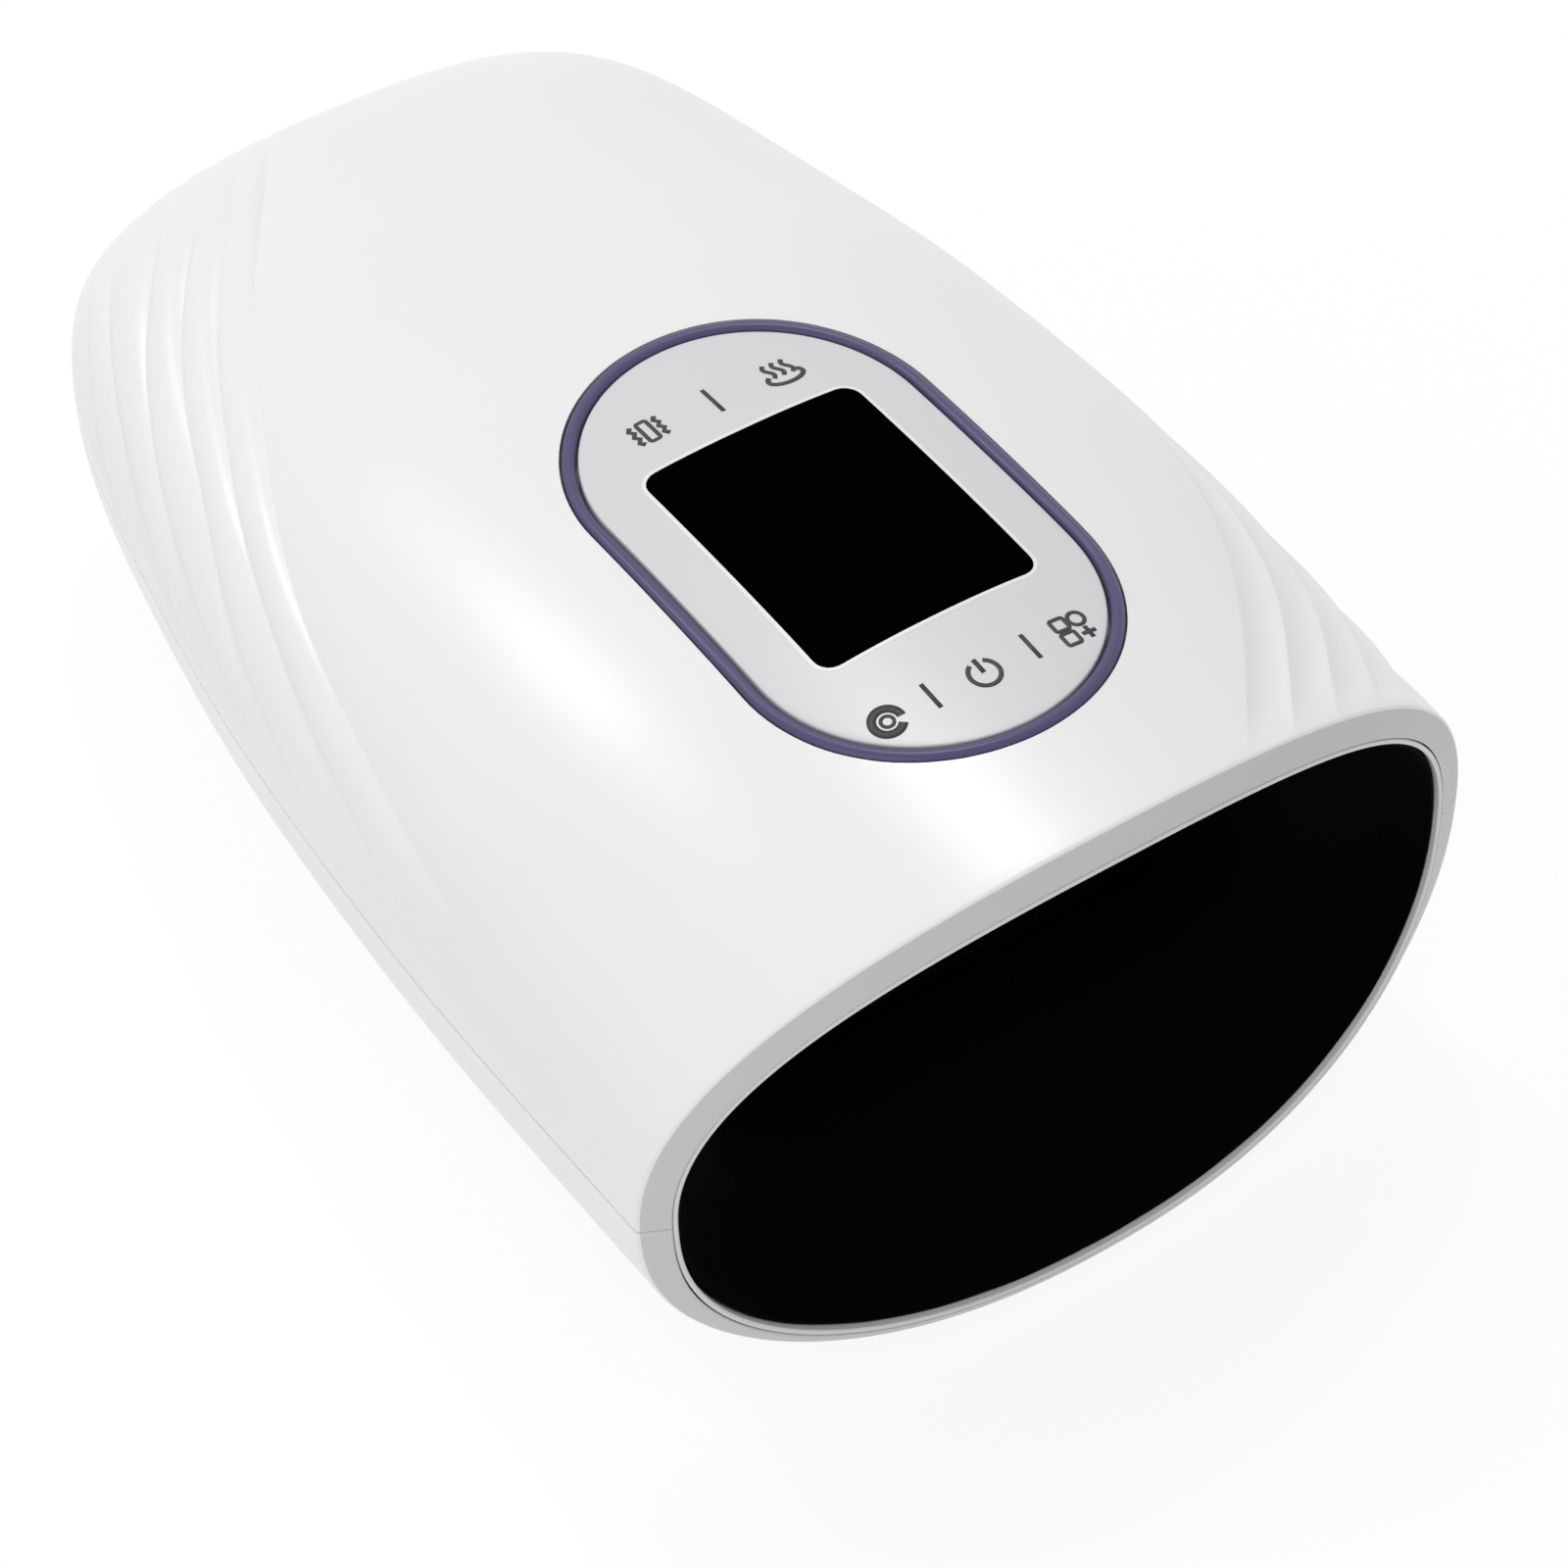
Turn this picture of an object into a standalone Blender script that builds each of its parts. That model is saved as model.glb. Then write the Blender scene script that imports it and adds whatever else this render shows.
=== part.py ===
"""Cordless air-pressure hand massager: a mouse-shaped casing in two mouldings with a fabric pocket,
pressing cushions on air bags, a pump, a valve, a battery and a vibration unit.

Metres, +Z up. The mouth faces -Y, the closed nose +Y, and the feet stand on Z = 0.
"""

import math

import bmesh
import bpy
import numpy as np
from mathutils import Matrix, Vector

for old in list(bpy.data.objects):
    bpy.data.objects.remove(old, do_unlink=True)

# Casing: overall form. Share 0 is the mouth, share 1 the tip of the nose.
body_length = 0.244
flank_half_width = 0.078
flank_shares = (0.974, 1.001, 1.005, 1.024, 1.11)
crown_rise = 0.0528
crown_shares = (0.932, 0.998, 0.945, 0.818, 0.725)
belly_depth = 0.0447
belly_shares = (1.0, 0.987, 0.974, 0.962, 0.95)
crown_power_mouth = 2.08
crown_power_nose = 2.575
belly_power = 2.33
plan_power = 3.2
side_power = 13.8
side_round_power = 1.24
mouth_bow = 0.0121
wall = 0.0025

# Casing: bevelled rim of the mouth and the opening inside it.
rim_depth = 0.0023
rim_side = 0.00475
rim_top = 0.0041
rim_bottom = 0.0059
rim_belly_power = 2.6
rim_land = 0.008
bevel_reach_ratio = 1.4

# Clearances. Seats touch with fit_gap between them, and the two shells with parting_gap.
fit_gap = 0.0003
parting_gap = 0.0003
bore_gap = 0.0002
overrun = 0.02

# Feet and the height of the parting plane.
foot_stand = 0.0015
foot_radius = 0.006
foot_height = 0.0032
foot_edge = 0.0008
foot_boss_wall = 0.0018
foot_across = 0.032
foot_front = 0.034
foot_back_share = 0.7623
parting = foot_stand + belly_depth

# Flutes of the flanks. Each crease climbs from the parting plane towards the crown.
flute_depth = 0.0011
flute_slope_share = 0.16
flute_crest_share = 0.93
flute_swell_share = 0.35
crown_flute_share = 0.10
left_start_shares = (0.015, 0.03, 0.045, 0.06, 0.075, 0.09)
left_sweep_shares = (0.33, 0.44, 0.58, 0.70, 0.78, 0.80)
left_bend_powers = (4.5, 4.0, 3.5, 3.0, 2.5, 2.0)
left_fade_in_shares = (0.15, 0.40)
left_fade_out_shares = (0.88, 0.97)
right_start_shares = (0.06, 0.12, 0.177, 0.226, 0.298, 0.363)
right_sweep_shares = (0.20, 0.25, 0.302, 0.368, 0.396, 0.464)
right_bend_powers = (6.0, 6.0, 6.0, 6.0, 6.0, 6.0)
right_fade_in_shares = (0.40, 0.75)
right_fade_out_shares = (0.97, 1.0)

# Control panel in its ring.
panel_from_mouth = 0.0745
ring_half_width = 0.0307
ring_half_length = 0.0509
ring_bead = 0.0012
ring_proud = 0.0005
panel_thick = 0.0018
panel_seat = 0.0044
seat_border = 0.0035
window_half_width = 0.0193
window_half_length = 0.02455
window_corner = 0.0029
window_from_mouth = 0.0746
display_half_width = 0.0180
display_half_length = 0.0235
touch_board_half_width = 0.025
touch_board_half_length = 0.043
touch_board_thick = 0.0012
touch_board_gap = 0.00036

# Screws that join the shells, and their bosses.
screw_front = 0.040
screw_middle_share = 0.5246
screw_back_end_share = 0.8525
screw_front_share = 0.8333
screw_middle_across_share = 0.8397
screw_back_share = 0.641
screw_shank = 0.0014
screw_head = 0.0028
screw_head_height = 0.0018
screw_socket = 0.0009
screw_socket_depth = 0.0010
screw_seat_drop = 0.010
screw_reach = 0.006
boss_wall = 0.0018

# Inner tunnel in two frames. The machine bay lies between its end and the nose.
tunnel_share = 0.72746
frame_wall = 0.002
frame_power = 4.0
frame_from_mouth = 0.040
frame_mouth_share = 0.7372
frame_end_share = 0.7244
frame_rise_mouth = 0.0345
frame_rise_end = 0.0345
frame_depth_mouth = 0.0352
frame_depth_end = 0.0352
standoff_radius = 0.0035
standoff_across = 0.038
lower_standoff_across = 0.030
standoff_front = 0.056
standoff_end_gap = 0.0175

# Fabric pocket.
liner_thick = 0.0010
liner_power = 4.0
liner_side_gap = 0.0040
liner_rise = 0.0203
liner_depth = 0.0242
liner_throat = 0.036
liner_throat_shares = (0, 0.3, 0.65, 1.0)
mouth_ring_wall = 0.0008
mouth_ring_length = 0.0065
window_margin = 0.0015

# Upper stack, from its cushion face up to the roof of the tunnel.
upper_face = 0.065
upper_cushion_thick = 0.0053
upper_cushion_inset = 0.0085
upper_cushion_crown = 0.0015
film_thick = 0.0004
film_inset = 0.008
upper_plate_thick = 0.0018
upper_plate_inset = 0.002
upper_bag_share = 0.75
upper_front = 0.047
upper_end_gap = 0.0065

# Lower stack, from its air bag up to its cushion face.
lower_bag_bottom = 0.0142
lower_bag_thick = 0.0034
lower_bag_share = 0.725
knuckle_plate_thick = 0.0018
knuckle_plate_inset = 0.002
knuckle_radius = 0.0045
knuckle_rise = 0.0018
knuckle_columns = 3
knuckle_rows = 5
lower_cushion_thick = 0.0040
lower_cushion_inset = 0.0125
lower_cushion_crown = 0.0012
lower_front = 0.045
lower_end_gap = 0.0125
cushion_corner = 0.014
cushion_side_shares = ((0.0, 0.92), (0.25, 0.99), (0.6, 1.0), (0.85, 0.985), (1.0, 0.90))
cushion_crown_shares = ((0.6, 0.7), (0.25, 1.0))
plate_corner = 0.008
bag_corner = 0.010
upper_nipple_share = 0.6667
upper_nipple_reach = 0.006
lower_nipple_share = 0.69
lower_nipple_reach = 0.005

# Battery and its holder.
cell_radius = 0.00925
cell_length_share = 0.8333
cell_cap_radius = 0.003
cell_cap_height = 0.0008
cells_share = 0.83094
cell_pitch = 0.0195
cell_front_height = 0.0232
cell_back_height = 0.0302
holder_wall = 0.0035
holder_back_wall = 0.0012

# Main board and the charging socket in the nose.
board_half_share = 0.4359
board_front_gap = 0.0065
board_back_from_nose = 0.018
board_thick = 0.0016
board_bottom = 0.0411
tongue_half = 0.0075
tongue_from_nose = 0.009
socket_half = 0.00447
socket_height = 0.0032
socket_length = 0.0075
socket_shell = 0.0004
socket_recess = 0.0010
slot_margin = 0.0004

# Air pump.
pump_share = 0.82172
pump_height = 0.0605
motor_radius = 0.0122
motor_length_share = 0.3846
motor_left = -0.002
motor_boss_radius = 0.0045
motor_boss_length = 0.0015
motor_shaft = 0.001
crank_offset = 0.0015
crank_radius = 0.0045
crank_thick = 0.004
head_half = 0.0125
head_length = 0.024
head_bore = 0.0085
head_bore_depth = 0.014
diaphragm_radius = 0.0082
diaphragm_thick = 0.0012
diaphragm_stem = 0.002
diaphragm_stem_length = 0.0025
nozzle_radius = 0.0013
nozzle_length = 0.005
sleeve_thick = 0.0018
sleeve_length = 0.018
sleeve_end_gap = 0.0010
bracket_wall = 0.002
bracket_length = 0.012
bracket_on_sleeve = 0.003
bracket_half = 0.010

# Solenoid valve.
valve_behind_pump = 0.020
valve_half_length = 0.011
valve_half_width = 0.006
valve_height = 0.012
valve_across = -0.003
valve_nozzle_pitch = 0.0075
plunger_radius = 0.0022
plunger_length = 0.008
plunger_travel = 0.0015
spring_radius = 0.0018
spring_wire = 0.0003
spring_turns = 5
spring_steps = 8
bore_end = 0.0155

# Air lines.
hose_radius = 0.0022
hose_bore = 0.0018
hose_gap = 0.0004
hose_sides = 6
hose_steps = 2
straight_shares = (0, 1, 1.6)

# Routes of the air lines between their straight ends: (share of the flank's half width, behind the
# pump's axis, height).
pump_hose_route_shares = (
    (-0.4679, 0.0055, 0.062), (-0.4103, 0.0135, 0.064), (-0.2821, 0.0185, 0.066),
    (-0.1859, 0.0200, 0.0665),
)
upper_hose_route_shares = (
    (0.1154, 0.0210, 0.068), (0.2564, 0.0200, 0.0695), (0.3974, 0.0135, 0.070),
    (0.4744, 0.0025, 0.071), (0.4359, -0.0085, 0.074), (0.3333, -0.0135, 0.0755),
)
lower_hose_route_shares = (
    (-0.1026, 0.0245, 0.0665), (-0.2564, 0.0250, 0.0635), (-0.4359, 0.0200, 0.057),
    (-0.5256, 0.0115, 0.048), (-0.5256, 0.0025, 0.039), (-0.5256, -0.0085, 0.0285),
    (-0.5000, -0.0155, 0.0215), (-0.4231, -0.0190, 0.017), (-0.3205, -0.0200, 0.0159),
)

# Vibration unit in the left side pocket.
vibration_across_share = 0.8185
vibration_height = 0.034
vibration_share = 0.30328
vibration_length = 0.018
vibration_radius_share = 0.0667
weight_length = 0.006
weight_gap = 0.0015
weight_shaft = 0.0009
strap_wall = 0.0010
strap_length = 0.010
strap_foot = 0.004
pad_top = 0.0262

# How finely round forms are divided.
round_sides = 20
small_sides = 12
side_steps = 4
knuckle_sides = 8
belly_columns = 11
cavity_columns = 9
crown_columns = 4
arc_samples = 49
casing_stations = (
    0, 0.04, 0.10, 0.18, 0.26, 0.35, 0.44, 0.53, 0.61, 0.69,
    0.76, 0.82, 0.87, 0.91, 0.945, 0.97, 0.986, 0.995, 0.999,
)
cavity_stations = (0.02, 0.15, 0.30, 0.45, 0.58, 0.70, 0.80, 0.87, 0.92, 0.955, 0.98, 0.993)
tiny = 0.000001

mouth_y = -body_length / 2
nose_y = body_length / 2

# Places that follow the casing, as distances from the mouth and from the middle.
foot_back = body_length * foot_back_share
screw_middle = body_length * screw_middle_share
screw_back = body_length * screw_back_end_share
screw_front_across = flank_half_width * screw_front_share
screw_middle_across = flank_half_width * screw_middle_across_share
screw_back_across = flank_half_width * screw_back_share
liner_end = body_length * tunnel_share
frame_end = liner_end + liner_thick / 2
frame_half_mouth = flank_half_width * frame_mouth_share
frame_half_end = flank_half_width * frame_end_share
standoff_back = liner_end - standoff_end_gap
liner_half = frame_half_end - liner_side_gap
upper_back = liner_end - upper_end_gap
upper_cushion_half = liner_half - upper_cushion_inset
film_half = upper_cushion_half - film_inset
upper_plate_half = upper_cushion_half - upper_plate_inset
upper_bag_half = upper_cushion_half * upper_bag_share
upper_stack = upper_cushion_thick + film_thick + upper_plate_thick + 3 * fit_gap
upper_nipple_height = (upper_face + upper_stack + parting + frame_rise_end - frame_wall) / 2
upper_nipple_across = upper_bag_half * upper_nipple_share
upper_nipple_end = upper_back + upper_nipple_reach
lower_back = liner_end - lower_end_gap
lower_cushion_half = liner_half - lower_cushion_inset
knuckle_plate_half = lower_cushion_half - knuckle_plate_inset
lower_bag_half = lower_cushion_half * lower_bag_share
lower_nipple_across = lower_bag_half * lower_nipple_share
lower_nipple_end = lower_back + lower_nipple_reach
cell_front = body_length * cells_share - cell_pitch / 2
cell_back = cell_front + cell_pitch
cell_length = flank_half_width * cell_length_share
board_half = flank_half_width * board_half_share
board_front = liner_end + board_front_gap
board_back = body_length - board_back_from_nose
tongue_end = body_length - tongue_from_nose
pump_from_mouth = body_length * pump_share
motor_length = flank_half_width * motor_length_share
motor_right = motor_left + motor_boss_length + motor_length
sleeve_left = motor_right - sleeve_end_gap - sleeve_length
valve_from_mouth = pump_from_mouth + valve_behind_pump
vibration_front = body_length * vibration_share
vibration_across = flank_half_width * vibration_across_share
vibration_radius = flank_half_width * vibration_radius_share
weight_radius = vibration_radius - bore_gap
axis_x = Vector((1, 0, 0))
axis_y = Vector((0, 1, 0))
axis_z = Vector((0, 0, 1))


def material(name, color, roughness, metallic=0.0):
    made = bpy.data.materials.new(name)
    made.use_nodes = True
    shader = made.node_tree.nodes["Principled BSDF"]
    shader.inputs["Base Color"].default_value = (*color, 1.0)
    shader.inputs["Roughness"].default_value = roughness
    shader.inputs["Metallic"].default_value = metallic
    return made


white_plastic = material("white_plastic", (0.86, 0.86, 0.87), 0.30)
grey_panel = material("grey_panel", (0.71, 0.71, 0.72), 0.25)
purple_plastic = material("purple_plastic", (0.10, 0.09, 0.19), 0.35)
black_glass = material("black_glass", (0.004, 0.004, 0.005), 0.12)
black_fabric = material("black_fabric", (0.006, 0.006, 0.007), 0.90)
frame_plastic = material("frame_plastic", (0.30, 0.30, 0.32), 0.55)
soft_rubber = material("soft_rubber", (0.05, 0.05, 0.055), 0.80)
clear_vinyl = material("clear_vinyl", (0.55, 0.58, 0.60), 0.45)
green_board = material("green_board", (0.03, 0.16, 0.07), 0.50)
bright_steel = material("bright_steel", (0.62, 0.62, 0.64), 0.28, 1.0)
copper_film = material("copper_film", (0.65, 0.33, 0.12), 0.35, 1.0)
cell_wrap = material("cell_wrap", (0.05, 0.20, 0.42), 0.40)
foam_grey = material("foam_grey", (0.18, 0.18, 0.19), 0.95)
silicone = material("silicone", (0.72, 0.74, 0.75), 0.40)


def finish(obj, surface, smooth=True):
    """Gives an object its material, and smooth shading up to a sharp edge."""
    obj.data.materials.clear()
    obj.data.materials.append(surface)
    if smooth:
        obj.data.shade_smooth()
        obj.data.set_sharp_from_angle(angle=math.radians(35))
    return obj


def new_object(name, bm):
    bmesh.ops.recalc_face_normals(bm, faces=bm.faces)
    if bm.calc_volume(signed=True) < 0:
        bmesh.ops.reverse_faces(bm, faces=bm.faces)
    mesh = bpy.data.meshes.new(name)
    bm.to_mesh(mesh)
    bm.free()
    obj = bpy.data.objects.new(name, mesh)
    bpy.context.collection.objects.link(obj)
    return obj


def put_origin(obj, point):
    """Moves a moving piece's origin onto its joint's axis and leaves its shape where it is."""
    point = Vector(point)
    obj.data.transform(Matrix.Translation(-point))
    obj.location = point
    return obj


def helper(obj):
    """Marks a cutter or a guide, which is no piece of the object."""
    obj.hide_render = True
    obj.display_type = "WIRE"
    return obj


def combine(obj, tool, operation):
    cut = obj.modifiers.new(operation.lower() + "_" + tool.name, "BOOLEAN")
    cut.operation = operation
    cut.object = tool
    helper(tool)
    return obj


def cut_away(obj, *tools):
    for tool in tools:
        combine(obj, tool, "DIFFERENCE")
    return obj


def keep_inside(obj, tool):
    return combine(obj, tool, "INTERSECT")


def join(obj, *tools):
    for tool in tools:
        combine(obj, tool, "UNION")
    return obj


def bridge(bm, first, second):
    """Quads between two rings that have as many points, in the same order."""
    for a, b, c, d in zip(first, first[1:] + first[:1], second[1:] + second[:1], second):
        bm.faces.new((a, b, c, d))


def cap(bm, ring, laced):
    """Closes a ring. A bowed ring is laced from its upper row to its lower row."""
    if not laced:
        bm.faces.new(ring)
        return
    for step in range(len(ring) // 2):
        corners = [ring[step], ring[step + 1], ring[-step - 1], ring[-step]]
        bm.faces.new(list(dict.fromkeys(corners)))


def loft(name, loops, tip=None, ring=False, laced=False):
    """Bridges closed loops in turn. The ends are capped, drawn to a tip, or joined into a ring."""
    bm = bmesh.new()
    rings = [[bm.verts.new(point) for point in loop] for loop in loops]
    for first, second in zip(rings, rings[1:]):
        bridge(bm, first, second)
    if ring:
        bridge(bm, rings[-1], rings[0])
    else:
        cap(bm, rings[0], laced)
        if tip is None:
            cap(bm, rings[-1], laced)
        else:
            bmesh.ops.pointmerge(bm, verts=rings[-1], merge_co=tip)
    return new_object(name, bm)


def prism(name, outline, low, high):
    """A plan outline carried straight up from one height to another."""
    bottom = [Vector((x, y, low)) for x, y in outline]
    top = [Vector((x, y, high)) for x, y in outline]
    return loft(name, [bottom, top])


def box(name, low, high):
    bm = bmesh.new()
    bmesh.ops.create_cube(bm, size=1)
    low, high = Vector(low), Vector(high)
    bmesh.ops.scale(bm, vec=high - low, verts=bm.verts)
    bmesh.ops.translate(bm, vec=(low + high) / 2, verts=bm.verts)
    return new_object(name, bm)


def soften_box(obj, width, segments=2):
    """Rounds a box's edges with a live bevel."""
    bevel = obj.modifiers.new("rounded_edges", "BEVEL")
    bevel.width = width
    bevel.segments = segments
    bevel.limit_method = "ANGLE"
    return obj


def turned(name, profile, start, direction, sides=round_sides):
    """Spins a profile of (radius, height) pairs about an axis that leaves start along direction."""
    bm = bmesh.new()
    verts = [bm.verts.new((radius, 0, height)) for radius, height in profile]
    edges = [bm.edges.new(pair) for pair in zip(verts, verts[1:])]
    bmesh.ops.spin(
        bm, geom=verts + edges, axis=axis_z, cent=(0, 0, 0), steps=sides,
        angle=math.tau, use_merge=True,
    )
    bmesh.ops.remove_doubles(bm, verts=bm.verts, dist=tiny)
    turn = axis_z.rotation_difference(direction).to_matrix().to_4x4()
    bmesh.ops.transform(bm, matrix=Matrix.Translation(start) @ turn, verts=bm.verts)
    return new_object(name, bm)


def rod(name, start, end, radius, sides=round_sides):
    start, end = Vector(start), Vector(end)
    length = (end - start).length
    profile = [(0, 0), (radius, 0), (radius, length), (0, length)]
    return turned(name, profile, start, end - start, sides)


def pipe(name, start, end, outer, inner, sides=round_sides):
    """A round tube, open at both ends."""
    start, end = Vector(start), Vector(end)
    length = (end - start).length
    profile = [(inner, 0), (outer, 0), (outer, length), (inner, length), (inner, 0)]
    return turned(name, profile, start, end - start, sides)


def through(shares, station):
    """Smooth curve through evenly spaced values, with the slope at each taken from its neighbours."""
    values = np.array(shares)
    last = len(values) - 1
    place = station * last
    k = min(int(place), last - 1)
    t = place - k
    slopes = np.gradient(values)
    rest = 1 - t
    ends = rest * rest * (1 + 2 * t) * values[k] + t * t * (3 - 2 * t) * values[k + 1]
    return float(ends + rest * rest * t * slopes[k] - t * t * rest * slopes[k + 1])


def fade(value, limits):
    t = min(1.0, max(0.0, (value - limits[0]) / (limits[1] - limits[0])))
    return t * t * (3 - 2 * t)


def section(station, inset=0.0):
    """Half width, rise, depth and crown power of the casing's section, drawn in by an inset."""
    plan = (1 - station**plan_power) ** (1 / plan_power)
    side = (1 - station**side_power) ** (1 / side_round_power)
    half = (flank_half_width * through(flank_shares, station) - inset) * plan
    rise = (crown_rise * through(crown_shares, station) - inset) * side
    depth = (belly_depth * through(belly_shares, station) - inset) * side
    power = crown_power_mouth + (crown_power_nose - crown_power_mouth) * station
    return half, rise, depth, power


def along(station, inset=0.0):
    """Y of a station on the middle plane."""
    return mouth_y + rim_depth + station * (body_length - rim_depth - inset)


def quarter(half, height, power):
    """Points and arc shares of a superellipse from its side to its middle."""
    angle = np.linspace(0, math.pi / 2, arc_samples)
    across = half * np.cos(angle) ** (2 / power)
    across[-1] = 0
    up = height * np.sin(angle) ** (2 / power)
    arc = np.concatenate([[0], np.cumsum(np.hypot(np.diff(across), np.diff(up)))])
    return across, up, arc / arc[-1], arc[-1]


def on_quarter(half, height, power, shares, sunk=None):
    """Points of a superellipse quarter at the given arc shares, each sunk along its own normal."""
    across, up, arc, length = quarter(half, height, power)
    tangent = np.stack([np.gradient(across), np.gradient(up)])
    tangent /= np.hypot(*tangent)
    x = np.interp(shares, arc, across)
    z = np.interp(shares, arc, up)
    if sunk is None:
        return x, z
    nx = np.interp(shares, arc, -tangent[1])
    nz = np.interp(shares, arc, tangent[0])
    return x + nx * sunk, z + nz * sunk


def creases(station, side):
    """Arc shares of a flank's six creases at a station, lowest first."""
    if side < 0:
        place, table = station, (left_start_shares, left_sweep_shares, left_bend_powers)
    else:
        place, table = 1 - station, (right_start_shares, right_sweep_shares, right_bend_powers)
    return [start + sweep * place**bend for start, sweep, bend in zip(*table)]


def flute_fade(station, side):
    if side < 0:
        return fade(station, left_fade_in_shares) * (1 - fade(station, left_fade_out_shares))
    place = 1 - station
    return fade(place, right_fade_in_shares) * (1 - fade(place, right_fade_out_shares))


def flank(station, side, arc_length):
    """Arc shares of one flank's columns from the parting plane to the crown, and how far each is sunk."""
    marks = [0.0] + creases(station, side)
    strength = flute_fade(station, side)
    shares, sunk = [0.0], [0.0]
    sunk_below = 0.0
    for low, high in zip(marks, marks[1:]):
        width = high - low
        sunk_here = strength * min(flute_depth, flute_slope_share * width * arc_length)
        for part in (flute_swell_share, flute_crest_share, 1.0):
            shares.append(low + part * width)
            sunk.append(sunk_here if part == 1.0 else sunk_below * (1 - part) ** 2)
        sunk_below = sunk_here
    top = marks[-1]
    width = min(crown_flute_share, (1 - top) / 2)
    for part in (flute_swell_share, 1.0):
        shares.append(top + part * width)
        sunk.append(sunk_below * (1 - part) ** 2)
    start = top + width
    for step in range(1, crown_columns + 1):
        shares.append(start + (1 - start) * step / crown_columns)
        sunk.append(0.0)
    return np.array(shares), np.array(sunk)


def fluted_loop(station, half, rise, depth, low_power, y, bow):
    """A section of the outside as a closed loop: left flank, crown, right flank, then the belly."""
    power = section(station)[3]
    points = []
    for side in (-1, 1):
        shares, sunk = flank(station, side, quarter(half, rise, power)[3])
        x, z = on_quarter(half, rise, power, shares, sunk)
        row = [(side * a, b) for a, b in zip(x, z)]
        points += row if side < 0 else row[-2::-1]
    x, z = on_quarter(half, depth, low_power, np.linspace(0, 1, belly_columns))
    right = [(a, -b) for a, b in zip(x, z)]
    points += right[1:] + [(-a, b) for a, b in right[-2:0:-1]]
    return [Vector((a, y + bow * (a / half) ** 2, parting + b)) for a, b in points]


def plain_loop(half, rise, depth, rise_power, depth_power, y, bow=0.0, columns=belly_columns):
    """A closed superellipse loop about the parting plane, bowed back at its sides."""
    shares = np.linspace(0, 1, columns)
    x, z = on_quarter(half, rise, rise_power, shares)
    top = [(-a, b) for a, b in zip(x, z)] + [(a, b) for a, b in zip(x[-2::-1], z[-2::-1])]
    x, z = on_quarter(half, depth, depth_power, shares)
    low = [(a, -b) for a, b in zip(x[1:], z[1:])] + [(-a, -b) for a, b in zip(x[-2:0:-1], z[-2:0:-1])]
    return [Vector((a, y + bow * (a / half) ** 2, parting + b)) for a, b in top + low]


def inner_casing(name, inset, stations=cavity_stations, columns=cavity_columns):
    """The casing's form without flutes, drawn in by an inset."""
    loops = []
    for station in stations:
        half, rise, depth, power = section(station, inset)
        bow = mouth_bow * (1 - station) ** 2
        loops.append(plain_loop(
            half, rise, depth, power, belly_power, along(station, inset), bow, columns
        ))
    return loft(name, loops, tip=(0, nose_y - inset, parting), laced=True)


def mouth_loop(from_mouth, inset=0.0):
    """The outline of the mouth's inner edge, a distance into the casing."""
    half, rise, depth, power = section(0)
    return plain_loop(
        half - rim_side - inset, rise - rim_top - inset, depth - rim_bottom - inset,
        power, rim_belly_power, mouth_y + from_mouth, mouth_bow,
    )


def frame_loop(from_mouth, inset=0.0):
    """The outline of the inner tunnel at a distance from the mouth."""
    t = (from_mouth - frame_from_mouth) / (frame_end - frame_from_mouth)
    half = frame_half_mouth + (frame_half_end - frame_half_mouth) * t
    rise = frame_rise_mouth + (frame_rise_end - frame_rise_mouth) * t
    depth = frame_depth_mouth + (frame_depth_end - frame_depth_mouth) * t
    return plain_loop(
        half - inset, rise - inset, depth - inset, frame_power, frame_power, mouth_y + from_mouth
    )


def crown_height(x, from_mouth, inset=0.0):
    """Height of the casing's surface over a point of its plan."""
    station = (from_mouth - rim_depth) / (body_length - rim_depth)
    half, rise, _, power = section(station, inset)
    return parting + rise * (1 - abs(x / half) ** power) ** (1 / power)


def stadium(half_width, half_length, from_mouth):
    """Plan outline of an oval with straight sides."""
    middle = mouth_y + from_mouth
    straight = half_length - half_width
    points = []
    for end in (1, -1):
        for step in range(round_sides + 1):
            angle = math.pi * step / round_sides
            points.append((
                end * half_width * math.cos(angle),
                middle + end * (straight + half_width * math.sin(angle)),
            ))
        for step in range(1, side_steps):
            points.append((-end * half_width, middle + end * straight * (1 - 2 * step / side_steps)))
    return points


def rounded_outline(half_width, low_y, high_y, corner, steps=4):
    """Plan outline of a rectangle with round corners."""
    points = []
    for quadrant, (sx, y) in enumerate(((1, high_y - corner), (-1, high_y - corner),
                                        (-1, low_y + corner), (1, low_y + corner))):
        for step in range(steps + 1):
            angle = math.pi / 2 * (quadrant + step / steps)
            points.append((
                sx * (half_width - corner) + corner * math.cos(angle), y + corner * math.sin(angle)
            ))
    return points


def slab(name, half_width, front, back, low, high, corner, steps=4):
    """A flat plate with round corners, placed by its distances from the mouth."""
    outline = rounded_outline(half_width, mouth_y + front, mouth_y + back, corner, steps)
    return prism(name, outline, low, high)


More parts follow.
